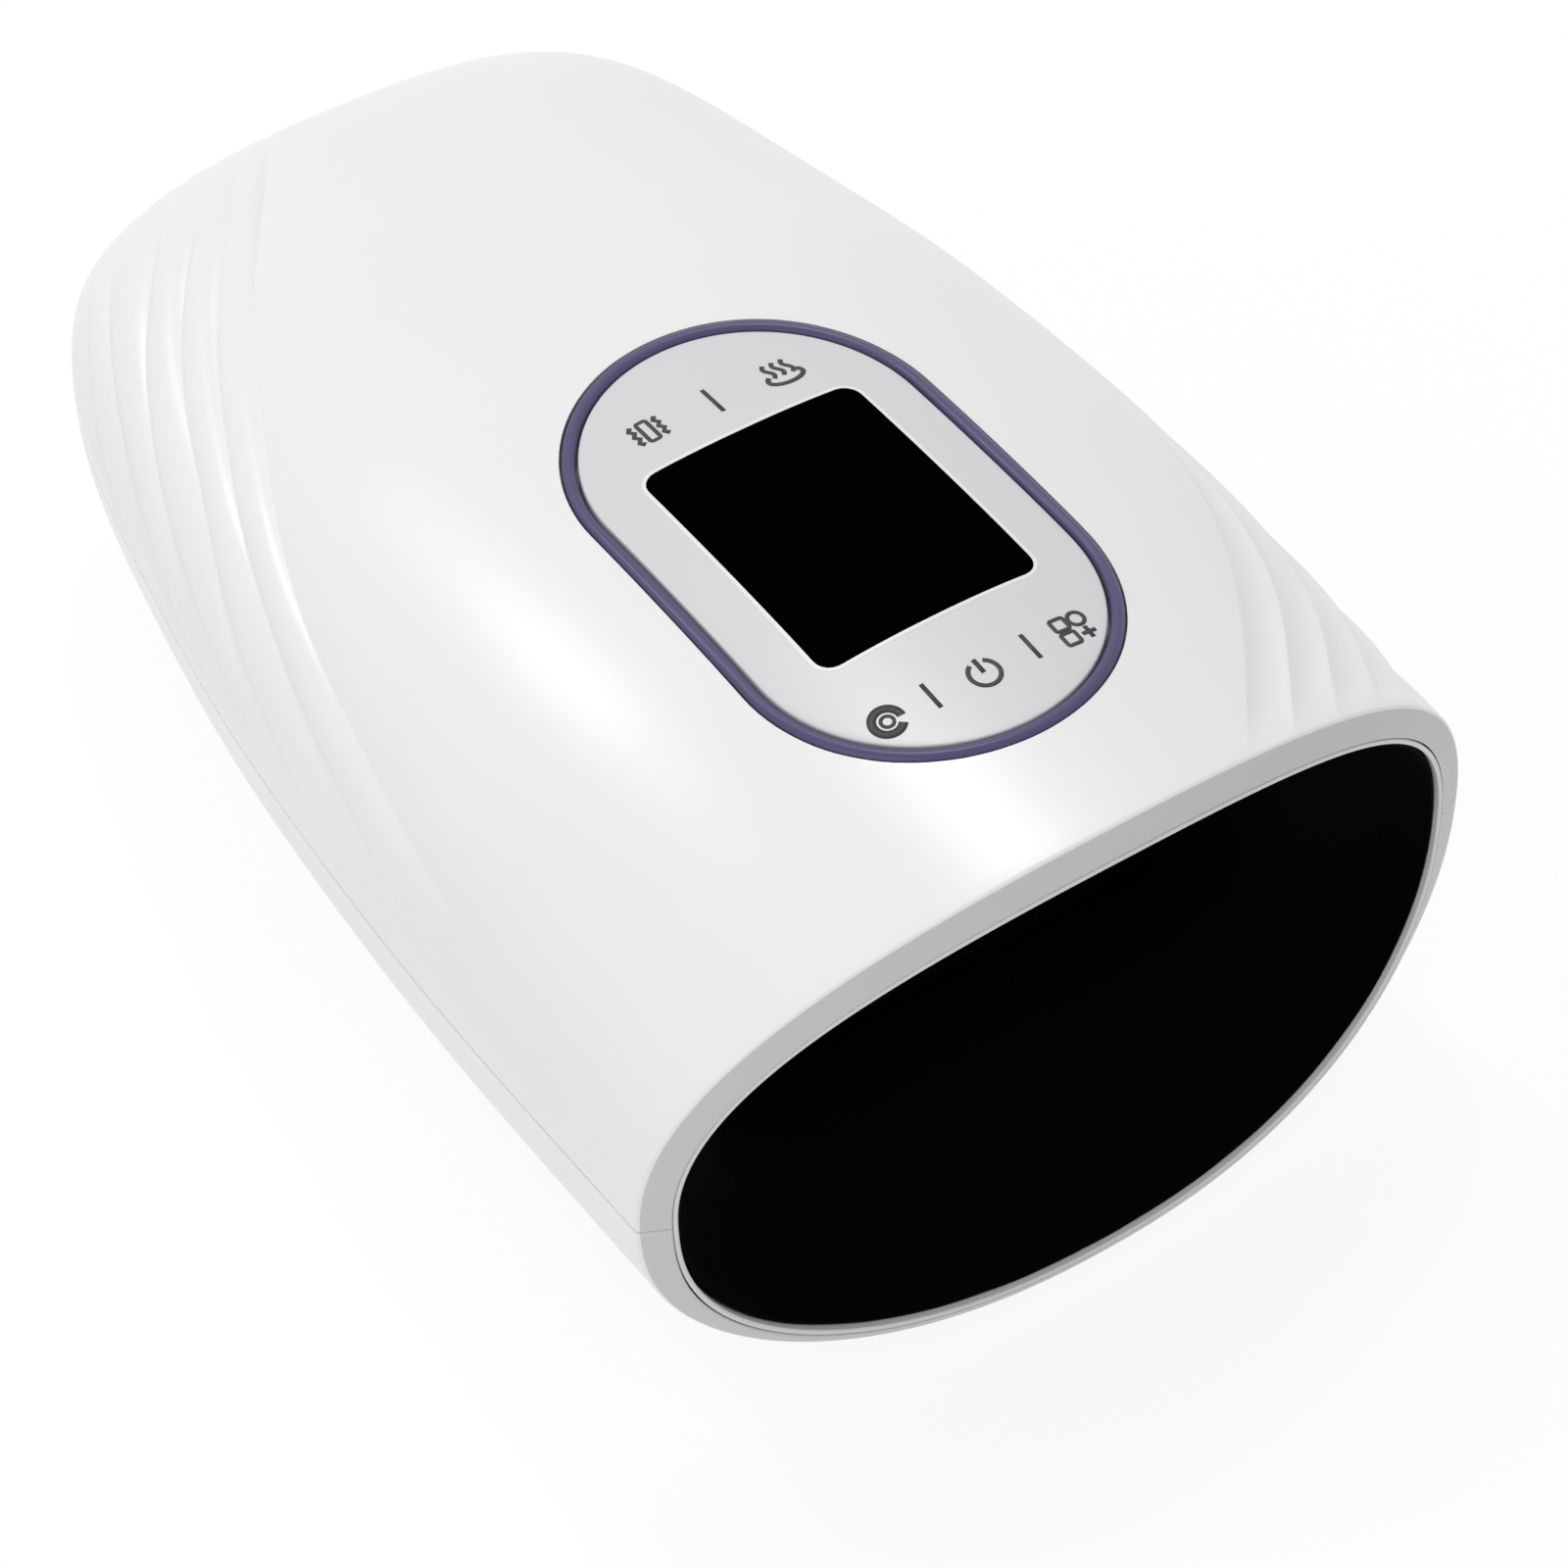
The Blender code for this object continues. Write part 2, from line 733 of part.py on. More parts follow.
def cushion(name, half_width, front, back, low, high, crown, facing):
    """A pad with drawn-in sides and a crowned face that looks up (1) or down (-1)."""
    thick = high - low
    loops = []
    middle = mouth_y + (front + back) / 2
    half_length = (back - front) / 2
    for rise_share, width_share in cushion_side_shares:
        up = rise_share * (thick - crown)
        z = low + up if facing > 0 else high - up
        inset = half_width * (1 - width_share)
        outline = rounded_outline(
            half_width - inset, middle - half_length + inset, middle + half_length - inset,
            cushion_corner,
        )
        loops.append([Vector((x, y, z)) for x, y in outline])
    for shrink_share, crown_share in cushion_crown_shares:
        z = high - crown + crown * crown_share if facing > 0 else low + crown - crown * crown_share
        loops.append([
            Vector((x * shrink_share, middle + (y - middle) * shrink_share, z))
            for x, y in outline
        ])
    return loft(name, loops)


def rings_along(points, radius, sides):
    """Circles square to a line through the points, turned as little as possible from one to the next."""
    tangents = [
        (after - before).normalized()
        for before, after in zip([points[0]] + points[:-1], points[1:] + [points[-1]])
    ]
    normal = tangents[0].orthogonal().normalized()
    loops = []
    for point, tangent in zip(points, tangents):
        normal = (normal - tangent * normal.dot(tangent)).normalized()
        across = tangent.cross(normal)
        angles = [math.tau * side / sides for side in range(sides)]
        loops.append([point + radius * (normal * math.cos(a) + across * math.sin(a)) for a in angles])
    return loops


def rounded_route(route, steps):
    """Points of a smooth curve through a route given as (x, from the mouth, z)."""
    points = [Vector((x, mouth_y + from_mouth, z)) for x, from_mouth, z in route]
    ends = [points[0] * 2 - points[1]] + points + [points[-1] * 2 - points[-2]]
    made = []
    for before, start, end, after in zip(ends, ends[1:], ends[2:], ends[3:]):
        for step in range(steps):
            t = step / steps
            made.append((
                2 * start + (end - before) * t + (2 * before - 5 * start + 4 * end - after) * t**2
                + (3 * start - before - 3 * end + after) * t**3
            ) / 2)
    return made + [points[-1]]


def hose(name, route):
    """A soft tube with an open bore along a smooth route."""
    points = rounded_route(route, hose_steps)
    outer = rings_along(points, hose_radius, hose_sides)
    inner = rings_along(points, hose_bore, hose_sides)
    return finish(loft(name, outer + inner[::-1], ring=True), silicone)


def mirrored(across, from_mouth):
    return [(side * across, mouth_y + from_mouth) for side in (-1, 1)]


screw_places = (
    mirrored(screw_front_across, screw_front)
    + mirrored(screw_middle_across, screw_middle)
    + mirrored(screw_back_across, screw_back)
)
foot_places = mirrored(foot_across, foot_front) + mirrored(foot_across, foot_back)
upper_standoffs = mirrored(standoff_across, standoff_front) + mirrored(standoff_across, standoff_back)
lower_standoffs = (
    mirrored(lower_standoff_across, standoff_front) + mirrored(lower_standoff_across, standoff_back)
)
head_room = body_length / 2
screw_seat = parting - screw_seat_drop
boss_inner = screw_head + bore_gap
boss_outer = boss_inner + boss_wall


def half_space(name, low, high):
    return box(name, (-head_room, -body_length, low), (head_room, body_length, high))


def outer_casing(name):
    """The whole outside form, drawn to the tip of the nose. Its bevel runs on inward in front, so that
    the mouth is cut out of it with a clean edge."""
    half, rise, depth, _ = section(0)
    low = rim_belly_power
    reach = bevel_reach_ratio
    inner = (half - rim_side * reach, rise - rim_top * reach, depth - rim_bottom * reach)
    loops = [
        fluted_loop(0, *inner, low, mouth_y - overrun, 0),
        fluted_loop(0, *inner, low, mouth_y + rim_depth * (1 - reach), mouth_bow),
    ]
    for station in casing_stations:
        half, rise, depth, _ = section(station)
        bow = mouth_bow * (1 - station) ** 2
        loops.append(fluted_loop(station, half, rise, depth, belly_power, along(station), bow))
    return loft(name, loops, tip=(0, nose_y, parting))


def mouth_cutter(name):
    """The opening inside the rim, from well in front of it to the back of its land."""
    front = [Vector((x, mouth_y - overrun * 2, z)) for x, y, z in mouth_loop(0)]
    return loft(name, [front, mouth_loop(rim_land + fit_gap)], laced=True)


def pegs(name, places, radius, low, high, sides=small_sides):
    """Upright round bosses at several places, as one cutter or adder."""
    bm = bmesh.new()
    for x, y in places:
        made = bmesh.ops.create_cone(
            bm, cap_ends=True, segments=sides, radius1=radius, radius2=radius, depth=high - low
        )
        bmesh.ops.translate(bm, vec=(x, y, (low + high) / 2), verts=made["verts"])
    return new_object(name, bm)


def build_upper_shell():
    shell = outer_casing("upper_shell")
    cut_away(shell, inner_casing("upper_cavity", wall), mouth_cutter("upper_mouth_cutter"))
    seat = prism(
        "panel_seat_block",
        stadium(ring_half_width + seat_border, ring_half_length + seat_border, panel_from_mouth),
        parting, parting + head_room,
    )
    keep_inside(seat, inner_casing("seat_limit", wall / 2))
    cut_away(seat, inner_casing("seat_floor", panel_seat))
    bosses = pegs("upper_bosses", screw_places, boss_outer, parting, parting + head_room)
    stands = pegs("upper_stands", upper_standoffs, standoff_radius, parting, parting + head_room)
    limit = inner_casing("upper_boss_limit", wall / 2)
    keep_inside(bosses, limit)
    keep_inside(stands, limit)
    cut_away(stands, tunnel_solid("upper_tunnel_clearance", -fit_gap))
    join(shell, seat, bosses, stands)
    low = parting + parting_gap / 2
    cut_away(
        shell,
        half_space("below_parting", -head_room, low),
        pegs("upper_pilot_holes", screw_places, screw_shank + bore_gap, parting - wall,
             parting + screw_reach + wall),
        panel_pocket(),
        prism("display_opening", rounded_outline(
            display_half_width + fit_gap, mouth_y + window_from_mouth - display_half_length - fit_gap,
            mouth_y + window_from_mouth + display_half_length + fit_gap, window_corner),
            parting, parting + head_room),
    )
    return finish(shell, white_plastic)


def panel_pocket():
    pocket = prism(
        "panel_pocket", stadium(ring_half_width, ring_half_length, panel_from_mouth),
        parting, parting + head_room,
    )
    return cut_away(pocket, inner_casing("pocket_floor", panel_thick + 2 * fit_gap, columns=belly_columns))


def tunnel_solid(name, inset):
    return loft(name, [frame_loop(frame_from_mouth - wall, inset), frame_loop(frame_end + wall, inset)])


def build_lower_shell():
    shell = outer_casing("lower_shell")
    cut_away(shell, inner_casing("lower_cavity", wall), mouth_cutter("lower_mouth_cutter"))
    limit = inner_casing("lower_boss_limit", wall / 2)
    bosses = pegs("lower_bosses", screw_places, boss_outer, 0, parting)
    keep_inside(bosses, limit)
    stands = pegs("lower_stands", lower_standoffs, standoff_radius, 0, parting)
    keep_inside(stands, limit)
    cut_away(stands, tunnel_solid("lower_tunnel_clearance", -fit_gap))
    pad = box(
        "vibration_pad",
        (-vibration_across - vibration_radius, mouth_y + vibration_front, 0),
        (-vibration_across + vibration_radius, mouth_y + vibration_front + vibration_length, pad_top),
    )
    keep_inside(pad, limit)
    feet = pegs("foot_bosses", foot_places, foot_radius + foot_boss_wall, foot_stand, parting / 2)
    cut_away(feet, inner_casing("foot_boss_limit", wall / 2))
    join(shell, bosses, stands, pad, feet)
    high = parting - parting_gap / 2
    slot_mid = board_bottom - socket_height / 2 - fit_gap
    slot = box(
        "charging_slot",
        (-socket_half - slot_margin, nose_y - overrun / 2, slot_mid - socket_height / 2 - slot_margin),
        (socket_half + slot_margin, nose_y + overrun, slot_mid + socket_height / 2 + slot_margin),
    )
    cut_away(
        shell,
        half_space("above_parting", high, parting + head_room),
        pegs("screw_wells", screw_places, boss_inner, -overrun, screw_seat),
        pegs("screw_holes", screw_places, screw_shank + bore_gap, 0, parting + overrun),
        pegs("foot_pockets", foot_places, foot_radius + fit_gap, -overrun, foot_height + fit_gap,
             round_sides),
        soften_box(slot, socket_height / 3, 3),
    )
    return finish(shell, white_plastic)


def build_mouth_ring():
    outer_inset = bore_gap
    inner_inset = outer_inset + mouth_ring_wall
    outer = [mouth_loop(fit_gap, outer_inset), mouth_loop(mouth_ring_length, outer_inset)]
    inner = [mouth_loop(mouth_ring_length, inner_inset), mouth_loop(fit_gap, inner_inset)]
    return finish(loft("mouth_ring", outer + inner, ring=True), white_plastic)


def liner_loops(inset):
    """Loops of the fabric pocket from the mouth ring through the throat to its closed end."""
    half, rise, depth, power = section(0)
    start_inset = bore_gap * 2 + mouth_ring_wall + inset
    loops = []
    for share in liner_throat_shares:
        ease = share * share * (3 - 2 * share)
        y = mouth_y + fit_gap * 2 + (liner_throat - fit_gap * 2) * share
        wide = half - rim_side - start_inset
        tall = rise - rim_top - start_inset
        deep = depth - rim_bottom - start_inset
        loops.append(plain_loop(
            wide + (liner_half - inset - wide) * ease,
            tall + (liner_rise - inset - tall) * ease,
            deep + (liner_depth - inset - deep) * ease,
            power + (liner_power - power) * ease,
            rim_belly_power + (liner_power - rim_belly_power) * ease,
            y, mouth_bow * (1 - ease),
        ))
    loops.append(plain_loop(
        liner_half - inset, liner_rise - inset, liner_depth - inset, liner_power, liner_power,
        mouth_y + liner_end - inset,
    ))
    return loops


def build_fabric_liner():
    """A pocket of cloth: an outer and an inner skin, with windows where the two cushions press."""
    liner = loft("fabric_liner", liner_loops(0)[::-1] + liner_loops(liner_thick))
    upper = slab(
        "upper_window", upper_cushion_half + window_margin, upper_front - window_margin,
        upper_back + window_margin, parting + liner_rise / 2, parting + head_room, cushion_corner,
    )
    lower = slab(
        "lower_window", lower_cushion_half + window_margin, lower_front - window_margin,
        lower_back + window_margin, 0, parting - liner_depth / 2, cushion_corner,
    )
    cut_away(liner, upper, lower)
    return finish(liner, black_fabric)


def build_frames():
    outer = [frame_loop(frame_from_mouth), frame_loop(frame_end)]
    inner = [frame_loop(frame_end, frame_wall), frame_loop(frame_from_mouth, frame_wall)]
    for name, low, high in (
        ("upper_frame", -head_room, parting + parting_gap / 2),
        ("lower_frame", parting - parting_gap / 2, parting + head_room),
    ):
        frame = loft(name, outer + inner, ring=True)
        cut_away(frame, half_space(name + "_cut", low, high))
        finish(frame, frame_plastic)


def build_panel():
    """The domed panel, its window and ring, which all follow the crown of the casing."""
    inner_half = ring_half_width - 2 * ring_bead - bore_gap - fit_gap
    inner_length = ring_half_length - 2 * ring_bead - bore_gap - fit_gap
    panel = prism(
        "control_panel", stadium(inner_half, inner_length, panel_from_mouth), parting, parting + head_room
    )
    keep_inside(panel, inner_casing("panel_face", 0, casing_stations, belly_columns))
    window_low = mouth_y + window_from_mouth - window_half_length
    window_high = mouth_y + window_from_mouth + window_half_length
    cut_away(
        panel, inner_casing("panel_back", panel_thick, columns=belly_columns),
        prism("window_hole", rounded_outline(
            window_half_width + fit_gap / 2, window_low - fit_gap / 2, window_high + fit_gap / 2,
            window_corner), parting, parting + head_room),
    )
    finish(panel, grey_panel)
    window = prism(
        "screen_window",
        rounded_outline(window_half_width - fit_gap / 2, window_low + fit_gap / 2,
                        window_high - fit_gap / 2, window_corner - fit_gap),
        parting, parting + head_room,
    )
    keep_inside(window, inner_casing("window_face", 0, casing_stations, belly_columns))
    cut_away(window, inner_casing("window_back", panel_thick, columns=belly_columns))
    finish(window, black_glass)
    build_panel_ring()
    display_ends = (window_from_mouth - display_half_length, window_from_mouth + display_half_length)
    roof = min(crown_height(display_half_width, end, panel_thick) for end in display_ends)
    display_top = roof - 2 * fit_gap
    board_ends = (panel_from_mouth - touch_board_half_length, panel_from_mouth + touch_board_half_length)
    seat = min(crown_height(touch_board_half_width, end, panel_seat) for end in board_ends)
    board_top = seat - touch_board_gap
    display = slab(
        "display_module", display_half_width, window_from_mouth - display_half_length,
        window_from_mouth + display_half_length, board_top + fit_gap, display_top, window_corner,
    )
    finish(display, bright_steel)
    board = prism(
        "touch_board",
        stadium(touch_board_half_width, touch_board_half_length, panel_from_mouth),
        board_top - touch_board_thick, board_top,
    )
    finish(board, green_board)


def build_panel_ring():
    """A round bead carried along the oval, part sunk in the pocket and part proud of the casing."""
    half = ring_half_width - ring_bead - bore_gap
    length = ring_half_length - ring_bead - bore_gap
    data = bpy.data.curves.new("panel_ring", "CURVE")
    data.dimensions = "3D"
    data.bevel_depth = ring_bead
    data.bevel_resolution = 2
    outline = stadium(half, length, panel_from_mouth)
    line = data.splines.new("POLY")
    line.points.add(len(outline) - 1)
    line.use_cyclic_u = True
    for point, (x, y) in zip(line.points, outline):
        z = crown_height(x, y - mouth_y) + ring_proud - ring_bead
        point.co = (x, y, z, 1)
    ring = bpy.data.objects.new("panel_ring", data)
    bpy.context.collection.objects.link(ring)
    data.materials.append(purple_plastic)


def build_screws_and_feet():
    for number, (x, y) in enumerate(screw_places, 1):
        top = screw_seat + screw_reach + screw_seat_drop
        under = screw_seat - bore_gap
        profile = [
            (0, under - screw_head_height + screw_socket_depth),
            (screw_socket, under - screw_head_height + screw_socket_depth),
            (screw_socket, under - screw_head_height),
            (screw_head, under - screw_head_height),
            (screw_head, under),
            (screw_shank, under),
            (screw_shank, top - screw_shank),
            (0, top),
        ]
        screw = turned(f"case_screw_{number}", profile, Vector((x, y, 0)), axis_z, small_sides)
        finish(screw, bright_steel)
    for number, (x, y) in enumerate(foot_places, 1):
        profile = [
            (0, 0), (foot_radius - foot_edge, 0), (foot_radius, foot_edge),
            (foot_radius, foot_height), (0, foot_height),
        ]
        foot = turned(f"foot_{number}", profile, Vector((x, y, 0)), axis_z)
        finish(foot, soft_rubber)


def build_upper_stack():
    """The pressing side: air bag, plate, heating film and cushion, hung under the tunnel's roof."""
    z = upper_face
    middle = (0, mouth_y + (upper_front + upper_back) / 2, upper_face)
    pad = cushion(
        "upper_cushion", upper_cushion_half, upper_front, upper_back, z, z + upper_cushion_thick,
        upper_cushion_crown, -1,
    )
    finish(put_origin(pad, middle), black_fabric)
    z += upper_cushion_thick + fit_gap
    film = slab(
        "heating_film", film_half, upper_front + plate_corner, upper_back - plate_corner, z,
        z + film_thick, plate_corner,
    )
    finish(put_origin(film, middle), copper_film)
    z += film_thick + fit_gap
    plate = slab(
        "upper_press_plate", upper_plate_half, upper_front + wall, upper_back - wall, z,
        z + upper_plate_thick, plate_corner,
    )
    finish(put_origin(plate, middle), frame_plastic)
    z += upper_plate_thick + fit_gap
    bag = slab(
        "upper_air_bag", upper_bag_half, upper_front + plate_corner, upper_back, z,
        parting + head_room, bag_corner,
    )
    keep_inside(bag, tunnel_solid("bag_limit", frame_wall + fit_gap))
    join(bag, rod(
        "upper_nipple", (upper_nipple_across, mouth_y + upper_back - wall, upper_nipple_height),
        (upper_nipple_across, mouth_y + upper_nipple_end, upper_nipple_height), nozzle_radius, small_sides,
    ))
    finish(bag, clear_vinyl)


def build_lower_stack():
    """The kneading side: air bag, plate with domed knuckles, and cushion."""
    z = lower_bag_bottom
    bag = slab(
        "lower_air_bag", lower_bag_half, lower_front + plate_corner, lower_back - plate_corner,
        z, z + lower_bag_thick, bag_corner,
    )
    middle = z + lower_bag_thick / 2
    join(bag, rod(
        "lower_nipple", (-lower_nipple_across, mouth_y + lower_back - plate_corner - wall, middle),
        (-lower_nipple_across, mouth_y + lower_nipple_end, middle), nozzle_radius, small_sides,
    ))
    finish(bag, clear_vinyl)
    z += lower_bag_thick + fit_gap
    plate = slab(
        "knuckle_plate", knuckle_plate_half, lower_front + wall, lower_back - wall, z,
        z + knuckle_plate_thick, plate_corner,
    )
    top = z + knuckle_plate_thick
    pitch_x = knuckle_plate_half * 2 / knuckle_columns
    pitch_y = (lower_back - lower_front) / knuckle_rows
    for row in range(knuckle_rows):
        for column in range(knuckle_columns):
            x = (column - (knuckle_columns - 1) / 2) * pitch_x
            y = mouth_y + (lower_front + lower_back) / 2 + (row - (knuckle_rows - 1) / 2) * pitch_y
            profile = [
                (0, -knuckle_plate_thick / 2), (knuckle_radius, -knuckle_plate_thick / 2),
                (knuckle_radius, 0),
                (knuckle_radius * math.cos(math.pi / 6), knuckle_rise / 2),
                (knuckle_radius / 2, knuckle_rise * math.cos(math.pi / 6)), (0, knuckle_rise),
            ]
            place = Vector((x, y, top))
            join(plate, turned(f"knuckle_{row}_{column}", profile, place, axis_z, knuckle_sides))
    centre = (0, mouth_y + (lower_front + lower_back) / 2, top)
    finish(put_origin(plate, centre), frame_plastic)
    z = top + knuckle_rise + fit_gap
    pad = cushion(
        "lower_cushion", lower_cushion_half, lower_front, lower_back, z, z + lower_cushion_thick,
        lower_cushion_crown, 1,
    )
    finish(put_origin(pad, centre), black_fabric)


def build_battery():
    places = ((cell_front, cell_front_height), (cell_back, cell_back_height))
    half = cell_length / 2
    for number, (from_mouth, height) in enumerate(places, 1):
        profile = [
            (0, 0), (cell_radius, 0), (cell_radius, cell_length - cell_cap_height),
            (cell_cap_radius, cell_length - cell_cap_height), (cell_cap_radius, cell_length),
            (0, cell_length),
        ]
        start = Vector((-half, mouth_y + from_mouth, height))
        finish(turned(f"battery_cell_{number}", profile, start, axis_x), cell_wrap)
    end = half + bore_gap
    holder_back = mouth_y + cell_back + cell_radius + bore_gap + holder_back_wall
    holder = box(
        "battery_holder",
        (-end - holder_wall, mouth_y + cell_front - cell_radius / 2, 0),
        (end + holder_wall, holder_back, board_bottom - fit_gap),
    )
    keep_inside(holder, inner_casing("holder_limit", wall + fit_gap))
    front_y = mouth_y + cell_front - overrun
    cut_away(holder, box(
        "holder_top_cut", (-end - fit_gap, front_y, cell_front_height + fit_gap),
        (end + fit_gap, mouth_y + cell_back + overrun, parting + head_room),
    ))
    for number, (from_mouth, height) in enumerate(places, 1):
        y = mouth_y + from_mouth
        bed_radius = cell_radius + bore_gap
        cut_away(holder, rod(f"cell_bed_{number}", (-end, y, height), (end, y, height), bed_radius))
    finish(holder, frame_plastic)


def build_board():
    board = box(
        "main_board", (-board_half, mouth_y + board_front, board_bottom),
        (board_half, mouth_y + board_back, board_bottom + board_thick),
    )
    join(board, box(
        "board_tongue", (-tongue_half, mouth_y + board_back - wall, board_bottom),
        (tongue_half, mouth_y + tongue_end, board_bottom + board_thick),
    ))
    finish(board, green_board)
    top = board_bottom - fit_gap
    mouth = nose_y - wall + socket_recess
    socket = box(
        "charging_socket", (-socket_half, mouth - socket_length, top - socket_height),
        (socket_half, mouth, top),
    )
    soften_box(socket, socket_height / 3, 3)
    hollow = box(
        "socket_hollow",
        (-socket_half + socket_shell, mouth - socket_length * 0.8, top - socket_height + socket_shell),
        (socket_half - socket_shell, mouth + overrun, top - socket_shell),
    )
    cut_away(socket, soften_box(hollow, socket_height / 4, 3))
    finish(socket, bright_steel)


def build_pump():
    y = mouth_y + pump_from_mouth
    z = pump_height
    face = motor_left
    hole = motor_shaft + bore_gap
    back = motor_boss_length + motor_length
    profile = [
        (0, motor_length / 2), (hole, motor_length / 2), (hole, 0), (motor_boss_radius, 0),
        (motor_boss_radius, motor_boss_length), (motor_radius, motor_boss_length),
        (motor_radius, back), (0, back),
    ]
    finish(turned("pump_motor", profile, Vector((face, y, z)), axis_x), bright_steel)
    can = face + motor_boss_length
    crank_right = face - fit_gap
    crank_left = crank_right - crank_thick
    crank = rod(
        "pump_crank", (crank_left - wall, y, z), (can + motor_length / 3, y, z), motor_shaft, small_sides
    )
    low = z - crank_offset
    eccentric = rod("crank_disc", (crank_left, y, low), (crank_right, y, low), crank_radius)
    finish(put_origin(join(crank, eccentric), (crank_right, y, z)), bright_steel)
    head_right = can - fit_gap
    head_left = head_right - head_length
    head = box(
        "pump_head", (head_left, y - head_half, z - head_half), (head_right, y + head_half, z + head_half)
    )
    soften_box(head, wall)
    bore = rod("head_bore", (head_right - head_bore_depth, y, z), (head_right + overrun, y, z), head_bore)
    nozzle_left = head_left - nozzle_length
    join(head, rod("pump_nozzle", (nozzle_left, y, z), (head_left + wall, y, z), nozzle_radius, small_sides))
    cut_away(head, bore)
    finish(head, frame_plastic)
    wall_x = head_right - head_bore_depth + fit_gap
    stem_end = diaphragm_thick + diaphragm_stem_length
    profile = [
        (0, 0), (diaphragm_radius, 0), (diaphragm_radius, diaphragm_thick),
        (diaphragm_stem, diaphragm_thick), (diaphragm_stem, stem_end), (0, stem_end),
    ]
    finish(turned("pump_diaphragm", profile, Vector((wall_x, y, z)), axis_x), soft_rubber)
    left = sleeve_left
    sleeve_inner = motor_radius + bore_gap
    sleeve_outer = sleeve_inner + sleeve_thick
    right = left + sleeve_length
    finish(pipe("pump_sleeve", (left, y, z), (right, y, z), sleeve_outer, sleeve_inner), foam_grey)
    left = sleeve_left + bracket_on_sleeve
    ring_inner = sleeve_outer + bore_gap
    bracket = pipe(
        "pump_bracket", (left, y, z), (left + bracket_length, y, z), ring_inner + bracket_wall, ring_inner
    )
    foot = box(
        "bracket_foot", (left, y - bracket_half, z + ring_inner + bracket_wall / 4),
        (left + bracket_length, y + bracket_half, z + head_room),
    )
    keep_inside(foot, inner_casing("bracket_limit", wall + fit_gap))
    join(bracket, foot)
    finish(bracket, frame_plastic)


def build_valve():
    y = mouth_y + valve_from_mouth
    low = board_bottom + board_thick + fit_gap
    mid = low + valve_height / 2
    left = valve_across - valve_half_length
    right = valve_across + valve_half_length
    body = box(
        "valve_body", (left, y - valve_half_width, low), (right, y + valve_half_width, low + valve_height)
    )
    soften_box(body, wall / 4, 1)
    for number in (-1, 0, 1):
        x = valve_across + number * valve_nozzle_pitch
        join(body, rod(
            f"valve_nozzle_{number + 2}", (x, y, low + valve_height - wall),
            (x, y, low + valve_height + nozzle_length), nozzle_radius, small_sides,
        ))
    bore_radius = plunger_radius + bore_gap
    bore = rod("valve_bore", (right - bore_end, y, mid), (right + overrun, y, mid), bore_radius, small_sides)
    cut_away(body, bore)
    finish(body, bright_steel)
    tip = right + plunger_travel
    plunger = rod(
        "valve_plunger", (tip - plunger_length, y, mid), (tip, y, mid), plunger_radius, small_sides
    )
    finish(put_origin(plunger, (tip, y, mid)), bright_steel)
    coil_start = right - bore_end + spring_wire + fit_gap
    coil_end = tip - plunger_length - spring_wire - fit_gap
    count = spring_turns * spring_steps
    points = []
    for number in range(count + 1):
        angle = math.tau * number / spring_steps
        x = coil_start + (coil_end - coil_start) * number / count
        across = spring_radius * math.cos(angle)
        up = spring_radius * math.sin(angle)
        points.append(Vector((x, y + across, mid + up)))
    finish(loft("valve_spring", rings_along(points, spring_wire, hose_sides - 2)), bright_steel)


def build_hoses():
    """Air lines: pump to valve, then valve to the upper and the lower air bag. Each end runs straight
    over its nozzle."""
    seat = board_bottom + board_thick + fit_gap + valve_height + hose_gap

    def in_bay(route):
        return tuple(
            (flank_half_width * share, pump_from_mouth + behind, z) for share, behind, z in route
        )

    def from_valve(number):
        x = valve_across + number * valve_nozzle_pitch
        return tuple((x, valve_from_mouth, seat + nozzle_length * share) for share in straight_shares)

    def to_bag(x, bag_end, nipple_end, z):
        places = (nipple_end + nozzle_length, nipple_end + hose_gap, bag_end + hose_gap)
        return tuple((x, place, z) for place in places)

    head_left = motor_left + motor_boss_length - fit_gap - head_length
    from_pump = tuple(
        (head_left - hose_gap - nozzle_length * share, pump_from_mouth, pump_height)
        for share in straight_shares
    )
    lower_middle = lower_bag_bottom + lower_bag_thick / 2
    hose("pump_hose", from_pump + in_bay(pump_hose_route_shares) + from_valve(-1)[::-1])
    hose("upper_hose", from_valve(1) + in_bay(upper_hose_route_shares) + to_bag(
        upper_nipple_across, upper_back, upper_nipple_end, upper_nipple_height))
    hose("lower_hose", from_valve(0) + in_bay(lower_hose_route_shares) + to_bag(
        -lower_nipple_across, lower_back, lower_nipple_end, lower_middle))


